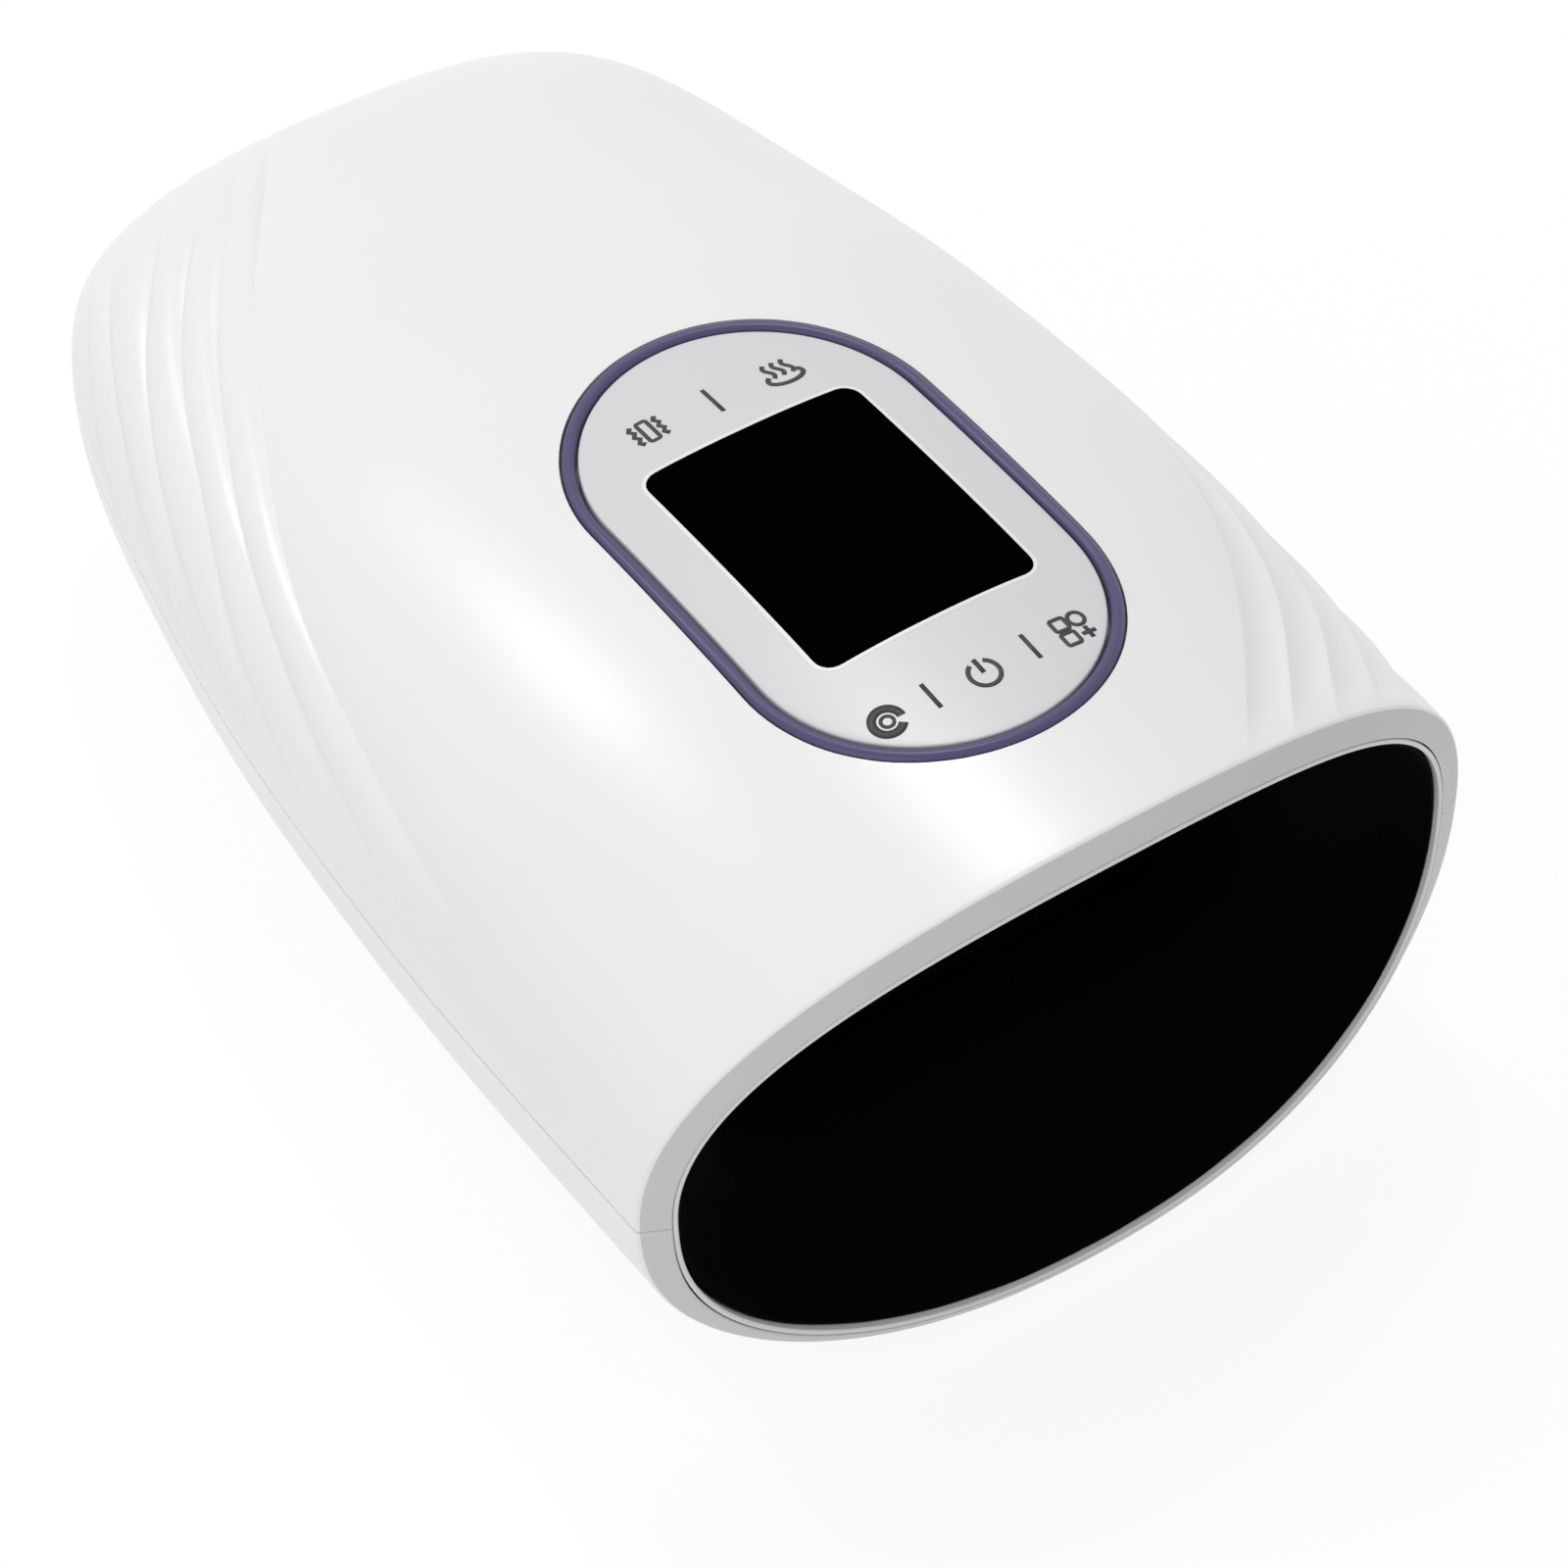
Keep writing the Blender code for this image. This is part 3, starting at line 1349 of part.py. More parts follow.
def build_vibration_unit():
    x = -vibration_across
    z = vibration_height
    start = mouth_y + vibration_front
    end = start + vibration_length
    profile = [
        (0, 0), (vibration_radius, 0), (vibration_radius, vibration_length),
        (weight_shaft + bore_gap, vibration_length), (weight_shaft + bore_gap, vibration_length / 2),
        (0, vibration_length / 2),
    ]
    finish(turned("vibration_motor", profile, Vector((x, start, z)), axis_y), bright_steel)
    weight = rod(
        "vibration_weight", (x, end - vibration_length / 3, z), (x, end + weight_gap + weight_length, z),
        weight_shaft, small_sides,
    )
    front = end + weight_gap
    sector = rod("weight_sector", (x, front, z), (x, front + weight_length, z), weight_radius)
    reach = weight_radius * 2
    cut_away(sector, box(
        "sector_cut", (x - reach, end, z + weight_shaft / 2), (x + reach, end + overrun, z + overrun)
    ))
    join(weight, sector)
    finish(put_origin(weight, (x, end, z)), bright_steel)
    middle = start + vibration_length / 2
    inner = vibration_radius + bore_gap
    strap = pipe(
        "vibration_bracket", (x, middle - strap_length / 2, z), (x, middle + strap_length / 2, z),
        inner + strap_wall, inner,
    )
    join(strap, box(
        "strap_foot", (x - strap_foot, middle - strap_length / 2, pad_top + fit_gap),
        (x + strap_foot, middle + strap_length / 2, z - inner - strap_wall / 2),
    ))
    finish(strap, frame_plastic)


build_upper_shell()
build_lower_shell()
build_mouth_ring()
build_fabric_liner()
build_frames()
build_panel()
build_screws_and_feet()
build_upper_stack()
build_lower_stack()
build_battery()
build_board()
build_pump()
build_valve()
build_hoses()
build_vibration_unit()
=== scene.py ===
"""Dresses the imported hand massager: casing, mouth, panel, pocket, inner parts and stage."""
from math import copysign, cos, exp, pi, radians, sin, sqrt, tau
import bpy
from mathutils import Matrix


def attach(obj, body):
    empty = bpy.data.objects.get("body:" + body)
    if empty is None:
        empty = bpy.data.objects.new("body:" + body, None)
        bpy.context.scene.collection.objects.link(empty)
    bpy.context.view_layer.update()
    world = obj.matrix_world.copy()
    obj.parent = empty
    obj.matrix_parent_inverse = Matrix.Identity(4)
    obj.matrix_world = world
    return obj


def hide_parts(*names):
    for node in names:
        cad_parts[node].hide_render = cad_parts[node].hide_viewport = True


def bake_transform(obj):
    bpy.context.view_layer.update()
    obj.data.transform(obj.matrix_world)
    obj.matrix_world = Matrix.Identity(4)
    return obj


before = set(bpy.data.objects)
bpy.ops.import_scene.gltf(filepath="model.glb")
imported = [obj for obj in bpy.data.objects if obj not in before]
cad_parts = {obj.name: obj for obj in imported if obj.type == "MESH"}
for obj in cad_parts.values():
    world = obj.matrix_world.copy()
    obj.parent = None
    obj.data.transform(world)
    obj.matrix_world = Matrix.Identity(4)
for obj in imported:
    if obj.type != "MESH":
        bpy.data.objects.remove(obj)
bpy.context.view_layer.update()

from types import SimpleNamespace as Sizes

import bmesh
import bpy
import numpy as np
from bpy.props import FloatProperty, FloatVectorProperty, IntProperty, PointerProperty
from mathutils import Vector

bl_info = {
    "name": "Hand Massager",
    "version": (1, 0, 0),
    "blender": (4, 5, 0),
    "location": "View3D > Sidebar > Massager",
    "description": "Builds the casing, panel, pocket and inner parts of a hand massager",
    "category": "Add Mesh",
}

# Form of the casing, as in the part's source.
body_length = 0.244
flank_half_width = 0.078
flank_shares = (0.974, 1.001, 1.005, 1.0043, 1.0864)
crown_rise = 0.0528
crown_shares = (0.932, 0.998, 0.945, 0.788, 0.783)
belly_depth = 0.0447
belly_shares = (1.0, 0.987, 0.974, 0.962, 0.95)
crown_power_mouth = 2.08
crown_power_nose = 2.575
belly_power = 2.33
plan_power = 3.31
side_power = 19.2
side_round_power = 0.70
mouth_bow = 0.0121
mouth_lean = 0.052
lean_reach = 0.16
wall = 0.0025
rim_depth = 0.0023
rim_side = 0.00475
rim_top = 0.0044
rim_bottom = 0.0038
rim_belly_power = 2.6
fit_gap = 0.0003
parting_gap = 0.0003
bore_gap = 0.0002
foot_stand = 0.0015
parting = foot_stand + belly_depth
mouth_y = -body_length / 2
nose_y = body_length / 2

# Rows and columns of the shells.
upper_rows, lower_rows, inner_rows = 170, 120, 56
belly_columns = 40
nose_crowding = 2.3
first_station, last_station = 0.0035, 0.9999999
edge_station = 0.0018
rim_shares = (0.09, 0.3, 0.5, 0.7, 0.91)
lip_round = 0.0004
land_depths = (0.0015, 0.004, 0.008)
inner_start, inner_stop = 0.03, 0.99999
weld = 0.000001

# Flutes of the flanks. Each line has its place on the arc at nine stations from mouth to nose.
flute_slope_share = 0.16
crown_flute_share = 0.10
left_lines = (
    (0.005, 0.006, 0.007, 0.008, 0.011, 0.016, 0.040, 0.235, 0.42),
    (0.010, 0.011, 0.012, 0.015, 0.022, 0.050, 0.175, 0.335, 0.55),
    (0.014, 0.015, 0.018, 0.028, 0.062, 0.147, 0.283, 0.487, 0.67),
    (0.018, 0.020, 0.026, 0.050, 0.130, 0.262, 0.385, 0.590, 0.75),
    (0.030, 0.045, 0.085, 0.151, 0.240, 0.340, 0.475, 0.680, 0.82),
    (0.130, 0.150, 0.185, 0.240, 0.310, 0.420, 0.565, 0.760, 0.88),
)
right_lines = (
    (0.225, 0.115, 0.066, 0.046, 0.038, 0.035, 0.035, 0.035, 0.035),
    (0.350, 0.190, 0.120, 0.093, 0.083, 0.080, 0.080, 0.080, 0.080),
    (0.460, 0.265, 0.180, 0.147, 0.134, 0.131, 0.130, 0.130, 0.130),
    (0.567, 0.357, 0.258, 0.213, 0.196, 0.191, 0.190, 0.190, 0.190),
    (0.668, 0.450, 0.330, 0.272, 0.250, 0.243, 0.240, 0.240, 0.240),
    (0.765, 0.541, 0.390, 0.328, 0.310, 0.302, 0.300, 0.300, 0.300),
)
# By side: the lines, the share of the depth, and where the flutes fade in and out.
flutes = {
    -1: (left_lines, 1.0, (0.15, 0.40), (0.82, 0.95)),
    1: (right_lines, 0.85, (0.40, 0.75), (0.97, 1.0)),
}
flute_steps = (0.035, 0.08, 0.15, 0.24, 0.33, 0.42, 0.5, 0.58, 0.67, 0.76, 0.85, 0.92, 0.965, 1.0)
crown_flute_steps = (0.04, 0.1, 0.2, 0.35, 0.5, 0.7, 0.85, 1.0)
crown_steps = 16
arc_samples = 6000

# Points along the outlines, and rounding of a rounded rectangle's corner.
corner_points = 25
ring_points, bead_points, slab_points, hole_points = 160, 240, 200, 900
pad_points, bag_points, sign_points = 220, 180, 60
mouth_points, pocket_points = 90, 64

# Panel, ring and window.
panel_middle = 0.0745
ring_half_width = 0.0307
ring_half_length = 0.0509
ring_bead = 0.0012
ring_proud = 0.0005
panel_inset = ring_bead * 2 + bore_gap + fit_gap
panel_thick = 0.0018
panel_seat = 0.0044
seat_border = 0.0035
window_half_width = 0.0193
window_half_length = 0.02455
window_corner = 0.0029
window_middle = 0.0746
ring_shape = (ring_half_width, ring_half_length, ring_half_width)
window_shape = (window_half_width, window_half_length, window_corner)

# Screws, feet and charging inlet.
well_radius, well_outer, well_top, well_lift = 0.003, 0.0046, 0.0355, 0.0012
bore_reach = 0.03
cup_radius, cup_depth = 0.0063, 0.0070
inlet_size, inlet_height = (0.00974, 0.02, 0.0040), 0.0392
screw_places = [
    (side * across, place) for across, place in ((0.065, 0.040), (0.0655, 0.128), (0.050, 0.208))
    for side in (-1, 1)
]
foot_places = [(side * 0.032, place) for side in (-1, 1) for place in (0.034, 0.186)]


class Value:
    """A socket of a shader tree, so that sums over a surface are written as sums."""

    def __init__(self, tree, socket):
        self.tree = tree
        self.socket = socket

    def sum(self, operation, *terms):
        node = self.tree.nodes.new("ShaderNodeMath")
        node.operation = operation
        for slot, term in zip(node.inputs, terms):
            if isinstance(term, Value):
                self.tree.links.new(term.socket, slot)
            else:
                slot.default_value = term
        return Value(self.tree, node.outputs[0])

    def __add__(self, other):
        return self.sum("ADD", self, other)

    def __sub__(self, other):
        return self.sum("SUBTRACT", self, other)

    def __rsub__(self, other):
        return self.sum("SUBTRACT", other, self)

    def __mul__(self, other):
        return self.sum("MULTIPLY", self, other)

    __radd__ = __add__

    def within(self, low, high):
        """0 at low, 1 at high, and held there beyond."""
        node = self.tree.nodes.new("ShaderNodeMapRange")
        node.inputs["From Min"].default_value = low
        node.inputs["From Max"].default_value = high
        self.tree.links.new(self.socket, node.inputs["Value"])
        return Value(self.tree, node.outputs[0])

    def wave(self, pitch):
        """A sine along the value, one wave to a pitch, from -1 to 1."""
        return self.sum("SINE", self * (tau / pitch))


class Finish:
    """The nodes of one material, or of the world."""

    def __init__(self, name, store="materials"):
        self.owner = getattr(bpy.data, store).new(name)
        self.owner.use_nodes = True
        self.tree = self.owner.node_tree
        self.tree.nodes.clear()

    def add(self, kind, settings=None, values=None, out=0):
        """Adds a node: its type, its settings, then the values or links of its sockets."""
        node = self.tree.nodes.new(kind)
        for key, value in (settings or {}).items():
            setattr(node, key, value)
        for key, value in (values or {}).items():
            if isinstance(value, Value):
                self.tree.links.new(value.socket, node.inputs[key])
            else:
                node.inputs[key].default_value = value
        return Value(self.tree, node.outputs[out]) if len(node.outputs) else None

    def place(self):
        return self.add("ShaderNodeTexCoord", out="Object")

    def noise(self, scale, detail=2, place=None):
        values = {"Vector": place or self.place(), "Scale": scale, "Detail": detail}
        return self.add("ShaderNodeTexNoise", values=values)

    def mix(self, share, first, second):
        values = {0: share, 6: first, 7: second}
        return self.add("ShaderNodeMix", {"data_type": "RGBA"}, values, out=2)

    def looked_at(self):
        """1 for what is looked at, straight or in a reflection, and 0 for what only lights."""
        kinds = ("Camera", "Glossy", "Transmission")
        straight, mirrored, passed = (
            self.add("ShaderNodeLightPath", out=f"Is {kind} Ray") for kind in kinds
        )
        return (straight + mirrored + passed).within(0, 1)

    def surface(self, tone, roughness, height, depth, others=None):
        """Joins the shader, whose bumps follow a height and are as deep as told."""
        values = {"Base Color": tone, "Roughness": roughness}
        values["Normal"] = self.add("ShaderNodeBump", values={"Height": height, "Distance": depth})
        values.update(others or {})
        shader = self.add("ShaderNodeBsdfPrincipled", values=values)
        self.add("ShaderNodeOutputMaterial", values={"Surface": shader})
        return self.owner


def opaque(colour, gain=1.0):
    return tuple(min(1.0, part * gain) for part in colour[:3]) + (1.0,)


def moulded(name, colour, roughness, mottle=0.03, grain=2600, depth=0.000006, gloss=0.5):
    """Moulded plastic: faint mottling, fine grain, and edges polished by handling, whose colour is
    also painted lighter as a highlight.
    """
    make = Finish(name)
    cloud, fine = make.noise(26, 3), make.noise(grain)
    polish_and_edge_highlight = make.add("ShaderNodeNewGeometry", out="Pointiness").within(0.51, 0.60)
    tone = make.mix(cloud.within(0.3, 0.7), opaque(colour), opaque(colour, 1 - mottle))
    # Painted highlight: convex edges are made lighter in colour; the lower roughness there, below,
    # is the real polish.
    tone = make.mix(polish_and_edge_highlight * 0.5, tone, opaque(colour, 1 + mottle))
    spread = 0.08
    rough = roughness + (fine - 0.5) * spread + (cloud - 0.5) * (spread / 2) - polish_and_edge_highlight * (spread / 2)
    return make.surface(tone, rough, fine, depth, {"Specular IOR Level": gloss})


def metal(name, colour, roughness, scale=900, stretch=None):
    """Drawn or turned metal with fine marks."""
    make = Finish(name)
    place = make.place()
    if stretch:
        place = make.add("ShaderNodeMapping", values={"Vector": place, "Scale": stretch})
    marks, stain = make.noise(scale, 4, place), make.noise(70)
    tone = make.mix(stain.within(0.35, 0.7), opaque(colour), opaque(colour, 0.86))
    spread = 0.12
    rough = roughness + (marks - 0.5) * spread + (stain - 0.5) * spread
    return make.surface(tone, rough, marks, 0.000008, {"Metallic": 1.0})


def rubber(name, colour, roughness=0.72):
    """Rubber, foam or soft plastic with a little dust."""
    make = Finish(name)
    grain, dust = make.noise(1800, 4), make.noise(60, 4)
    tone = make.mix(dust.within(0.4, 0.75) * 0.5, opaque(colour), opaque(colour, 1.5))
    rough = roughness + (grain - 0.5) * 0.18
    return make.surface(tone, rough, grain, 0.00004, {"Specular IOR Level": 0.3})


def cloth(name, colour, pitch, depth=0.00012):
    """Woven cloth on the piece's own map, whose units are metres; darker in the weave's hollows and
    lighter on its threads, as painted shade and light.
    """
    make = Finish(name)
    where = make.add("ShaderNodeUVMap", {"uv_map": "cloth"})
    warp, weft = (
        make.add("ShaderNodeSeparateXYZ", values={"Vector": where}, out=axis) for axis in ("X", "Y")
    )
    weave = warp.wave(pitch) * weft.wave(pitch)
    threads = (warp + weft).wave(pitch / 2)
    fuzz, fade = make.noise(900, 3), make.noise(30)
    height = weave * 0.5 + threads * 0.2 + fuzz * 0.5
    # Painted shade and light: the colour is darker where the weave lies low and lighter where it
    # stands high.
    tone = make.mix(height.within(-0.4, 0.9), opaque(colour, 0.55), opaque(colour, 1.5))
    tone = make.mix(fade.within(0.35, 0.75) * 0.4, tone, opaque(colour, 0.7))
    soft = {"Sheen Weight": 0.01, "Sheen Roughness": 0.5, "Specular IOR Level": 0.02}
    return make.surface(tone, 0.86 + (fuzz - 0.5) * 0.16, height, depth, soft)


def vinyl(name):
    """Hazy clear vinyl of the air bags."""
    make = Finish(name)
    haze, grain = make.noise(45, 3), make.noise(1500)
    tone = make.mix(haze, (0.62, 0.65, 0.68, 1), (0.74, 0.76, 0.78, 1))
    rough = 0.38 + (grain - 0.5) * 0.15 + (haze - 0.5) * 0.1
    return make.surface(tone, rough, grain + haze * 2, 0.00003)


def dark_glass(name):
    """The window: black, with faint smears."""
    make = Finish(name)
    smear = make.noise(60, 3)
    tone = make.mix(smear, (0.0006, 0.0006, 0.0007, 1), (0.0011, 0.0011, 0.0013, 1))
    return make.surface(tone, 0.10 + smear * 0.05, smear, 0.00001, {"Specular IOR Level": 0.0})


def printed_film(name):
    """Heating film with copper tracks."""
    make = Finish(name)
    place = make.add("ShaderNodeSeparateXYZ", values={"Vector": make.place()})
    track = place.wave(0.006).within(0.1, 0.35)
    stain = make.noise(120, 3)
    tone = make.mix(track, (0.42, 0.16, 0.05, 1), (0.72, 0.42, 0.22, 1))
    tone = make.mix(stain.within(0.4, 0.8) * 0.3, tone, (0.30, 0.12, 0.05, 1))
    return make.surface(tone, 0.45 - track * 0.12, track, 0.00003, {"Metallic": track * 0.7})


def circuit_board(name):
    """Green board with fine tracks."""
    make = Finish(name)
    cells = make.add("ShaderNodeTexVoronoi", {"feature": "DISTANCE_TO_EDGE"}, {"Scale": 260})
    track = cells.within(0.02, 0.05)
    stain = make.noise(80, 3)
    tone = make.mix(track, (0.05, 0.22, 0.09, 1), (0.025, 0.13, 0.05, 1))
    tone = make.mix(stain * 0.3, tone, (0.02, 0.09, 0.04, 1))
    return make.surface(tone, 0.30 + stain * 0.12, track, 0.00003)


def through(shares, station):
    """Smooth curve through evenly spaced values, its slopes taken from their neighbours."""
    values = np.array(shares)
    slopes = np.gradient(values)
    last = len(values) - 1
    place = np.asarray(station) * last
    k = np.clip(place.astype(int), 0, last - 1)
    t = place - k
    rest = 1 - t
    ends = rest**2 * (1 + 2 * t) * values[k] + t**2 * (3 - 2 * t) * values[k + 1]
    return ends + rest**2 * t * slopes[k] - t**2 * rest * slopes[k + 1]


def fade(value, limits):
    t = min(1.0, max(0.0, (value - limits[0]) / (limits[1] - limits[0])))
    return t * t * (3 - 2 * t)


def station_at(y):
    """Share of the casing's length behind the rim."""
    return (np.asarray(y) - mouth_y - rim_depth) / (body_length - rim_depth)


def section(station, inset=0.0):
    """Half width, rise, depth and crown power of the casing's section, drawn in by an inset."""
    plan = (1 - station**plan_power) ** (1 / plan_power)
    side = (1 - station**side_power) ** (1 / side_round_power)
    half = (flank_half_width * through(flank_shares, station) - inset) * plan
    rise = (crown_rise * through(crown_shares, station) - inset) * side
    depth = (belly_depth * through(belly_shares, station) - inset) * side
    return half, rise, depth, crown_power_mouth + (crown_power_nose - crown_power_mouth) * station


def quarter_curve(half, height, power):
    """Closely spaced points of a superellipse quarter, and the arc up to each."""
    angle = np.linspace(0, pi / 2, arc_samples)
    x = half * np.cos(angle) ** (2 / power)
    x[-1] = 0
    z = height * np.sin(angle) ** (2 / power)
    return x, z, np.concatenate([[0], np.cumsum(np.hypot(np.diff(x), np.diff(z)))])


def quarter(half, height, power, shares, sunk=None):
    """Points of a superellipse quarter at the given arc shares, each sunk along its own normal."""
    x, z, arc = quarter_curve(half, height, power)
    arc_share = arc / arc[-1]
    across, up = np.interp(shares, arc_share, x), np.interp(shares, arc_share, z)
    if sunk is not None:
        tangent = np.stack([np.gradient(x), np.gradient(z)])
        tangent /= np.hypot(*tangent)
        across = across - np.interp(shares, arc_share, tangent[1]) * sunk
        up = up + np.interp(shares, arc_share, tangent[0]) * sunk
    return across, up


def flank(station, side, arc_length, flute_depth):
    """Arc shares of a flank's columns from the parting plane up, and how far each is sunk."""
    lines, share, fade_in, fade_out = flutes[side]
    marks = [0.0] + [float(through(line, station)) for line in lines]
    place = station if side < 0 else 1 - station
    strength = share * fade(place, fade_in) * (1 - fade(place, fade_out))
    shares, sunk = [0.0], [0.0]
    below = 0.0
    for low, high in zip(marks, marks[1:]):
        here = strength * min(flute_depth, flute_slope_share * (high - low) * arc_length)
        for step in flute_steps:
            shares.append(low + step * (high - low))
            hollow = 4 * step * (1 - step)
            if side < 0:
                sunk.append((below if step < 0.5 else here) * (1 - hollow))
            else:
                sunk.append(here * hollow)
        below = here if side < 0 else 0.0
    width = min(crown_flute_share, (1 - marks[-1]) / 2)
    for step in crown_flute_steps:
        shares.append(marks[-1] + step * width)
        sunk.append(below * (1 - step) ** 2)
    start = marks[-1] + width
    shares += [start + (1 - start) * step / crown_steps for step in range(1, crown_steps + 1)]
    sunk += [0.0] * crown_steps
    return np.array(shares), np.array(sunk)


def crown_height(x, y, lift):
    """Height of the casing's surface over points of its plan."""
    half, rise, _, power = section(station_at(y))
    return parting + rise * (1 - np.abs(np.asarray(x) / half) ** power) ** (1 / power) + lift


def rounded_outline(shape, count, inset=0.0):
    """Evenly spaced points of a rounded rectangle: half width, half length and corner."""
    half_width, half_length, corner = (size - inset for size in shape)
    corner = min(corner, half_width, half_length)
    points = []
    for index, (side, end) in enumerate(((1, -1), (1, 1), (-1, 1), (-1, -1))):
        for turn in np.linspace(index - 1, index, corner_points) * pi / 2:
            points.append((
                side * (half_width - corner) + corner * cos(turn),
                end * (half_length - corner) + corner * sin(turn),
            ))
    points = np.array(points + points[:1])
    arc = np.concatenate([[0], np.cumsum(np.hypot(*np.diff(points, axis=0).T))])
    where = np.linspace(0, arc[-1], count + 1)
    return np.stack([np.interp(where, arc, points[:, 0]), np.interp(where, arc, points[:, 1])], 1)


def outwards_of(shape, count):
    """The direction in which each point of an outline faces."""
    away = rounded_outline(shape, count, -0.001) - rounded_outline(shape, count)
    return away / np.linalg.norm(away, axis=1)[:, None]


def bead_rows(middles, outwards, across, up, sides, shift=0.0):
    """Rows of a bead along a closed line: its half sizes, and how far it is shifted outwards."""
    rows = []
    for turn in np.linspace(0, tau, sides + 1):
        lift = np.full(len(middles), sin(turn) * up)
        rows.append(middles + np.c_[outwards * (cos(turn) * across + shift), lift])
    return rows


def on_crown(outline, middle, lift):
    """An outline laid on the casing's crown about a place on the middle line."""
    x, y = outline[:, 0], outline[:, 1] + mouth_y + middle
    return np.stack([x, y, crown_height(x, y, lift)], 1)


def crown_rows(shape, count, middle, profile):
    """Rows round an outline on the crown, from a profile of insets and lifts."""
    return [on_crown(rounded_outline(shape, count, inset), middle, lift) for inset, lift in profile]


def lay_grid(bm, rows):
    """Adds a grid whose corners stand at the given rows of places, with a map in metres."""
    rows = np.asarray(rows, float)
    count, columns = rows.shape[:2]
    made = bmesh.ops.create_grid(bm, x_segments=columns - 1, y_segments=count - 1, size=1)["verts"]
    for vert, place in zip(made, rows.reshape(-1, 3)):
        vert.co = place
    across = np.linalg.norm(np.diff(rows, axis=1), axis=2).max(axis=0)
    down = np.linalg.norm(np.diff(rows, axis=0), axis=2).max(axis=1)
    across = np.concatenate([[0], np.cumsum(across)])
    down = np.concatenate([[0], np.cumsum(down)])
    layer = bm.loops.layers.uv.get("cloth") or bm.loops.layers.uv.new("cloth")
    index = {vert: number for number, vert in enumerate(made)}
    for face in {face for vert in made for face in vert.link_faces}:
        for loop in face.loops:
            row, column = divmod(index[loop.vert], columns)
            loop[layer].uv = (across[column], down[row])
    return made


def merge(bm, reach=weld):
    bmesh.ops.remove_doubles(bm, verts=bm.verts, dist=reach)


def face_outwards(bm):
    bmesh.ops.recalc_face_normals(bm, faces=bm.faces)


def close(bm, reach=weld):
    """Welds seams and poles, fills what is open and turns the faces outwards."""
    merge(bm, reach)
    bmesh.ops.dissolve_degenerate(bm, edges=bm.edges, dist=reach / 10)
    open_edges = [edge for edge in bm.edges if edge.is_boundary]
    if open_edges:
        filled = bmesh.ops.contextual_create(bm, geom=open_edges)["faces"]
        bmesh.ops.triangulate(bm, faces=filled)
    face_outwards(bm)


def mesh_from(bm, name):
    mesh = bpy.data.meshes.new(name)
    bm.to_mesh(mesh)
    bm.free()
    return mesh


def put(name, data):
    made = bpy.data.objects.new(name, data)
    bpy.context.scene.collection.objects.link(made)
    return made


def new_piece(name, bm, material, slot, body="casing", replaces=(), sharp=35):
    """Makes the piece, gives it its finish and lets it ride on a body of the frame."""
    mesh = mesh_from(bm, name)
    mesh.shade_smooth()
    mesh.set_sharp_from_angle(angle=radians(sharp))
    for surface in material if isinstance(material, (list, tuple)) else [material]:
        mesh.materials.append(surface)
    piece = put(name, mesh)
    if body:
        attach(piece, body)
    if replaces:
        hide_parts(*replaces)
    return piece


def from_rows(name, rows, material, slot, **options):
    """A closed piece from one grid of places."""
    bm = bmesh.new()
    lay_grid(bm, rows)
    close(bm)
    return new_piece(name, bm, material, slot, **options)


def cut(piece, bm, name):
    """Takes a solid out of a piece for good."""
    tool = put(name, mesh_from(bm, name))
    change = piece.modifiers.new("cut", "BOOLEAN")
    change.operation = "DIFFERENCE"
    change.solver = "EXACT"
    change.object = tool
    with bpy.context.temp_override(object=piece, active_object=piece):
        bpy.ops.object.modifier_apply(modifier=change.name)
    bpy.data.objects.remove(tool)


def thicken(sheet, name, thickness, offset):
    """Gives a sheet its thickness."""
    change = sheet.modifiers.new(name, "SOLIDIFY")
    change.thickness = thickness
    change.offset = offset


def corner_rows(before, corner, after, steps=4):
    """Rows that round a corner between two rows."""
    shares = np.linspace(0, 1, steps + 1)
    return [(1 - t) ** 2 * before + 2 * t * (1 - t) * corner + t * t * after for t in shares]


def bowed(x, z, y, bow, half):
    """Places a row of a section: bowed back at its sides, leaning back near the mouth."""
    lean = mouth_lean * max(0.0, 1 - (y - mouth_y) / lean_reach) ** 3
    return np.stack([x, y + bow * (x / half) ** 2 + lean * z, parting + z], 1)


def joined(left, right=None):
    """One row from left to right, from each side's quarter, which starts at the parting plane."""
    right = right or left
    return np.concatenate([-left[0], right[0][-2::-1]]), np.concatenate([left[1], right[1][-2::-1]])


def over_crown(station, half, rise, flute_depth, fluted=False):
    """Points over the crown in the casing's columns."""
    whole_half, whole_rise, _, power = section(station)
    length = quarter_curve(whole_half, whole_rise, power)[2][-1]
    sides = []
    for side in (-1, 1):
        shares, sunk = flank(station, side, length, flute_depth)
        sides.append(quarter(half, rise, power, shares, sunk if fluted else None))
    return joined(*sides)


def at_station(x, z, station, inset, half):
    y = mouth_y + rim_depth + station * (body_length - rim_depth - inset)
    return bowed(x, z, y, mouth_bow * (1 - station) ** 2, half)


def crown_row(station, flute_depth, inset=0.0, fluted=True):
    """One row over the crown from the left parting edge to the right one."""
    half, rise, _, _ = section(station, inset)
    x, z = over_crown(station, half, rise, flute_depth, fluted)
    return at_station(x, z, station, inset, half)


def belly_row(station, inset=0.0):
    """One row under the belly from the left parting edge to the right one."""
    half, _, depth, _ = section(station, inset)
    x, z = joined(quarter(half, depth, belly_power, np.linspace(0, 1, belly_columns)))
    return at_station(x, -z, station, inset, half)


def mouth_section(inset=0.0):
    """Half width, rise and depth of the mouth's inner edge, drawn in by an inset."""
    half, rise, depth, _ = section(0.0)
    return half - rim_side - inset, rise - rim_top - inset, depth - rim_bottom - inset


def crown_mouth_row(from_mouth, flute_depth):
    """The mouth's inner edge over the crown, with the casing's columns."""
    half, rise, _ = mouth_section()
    x, z = over_crown(0.0, half, rise, flute_depth)
    return bowed(x, z, mouth_y + from_mouth, mouth_bow, half)


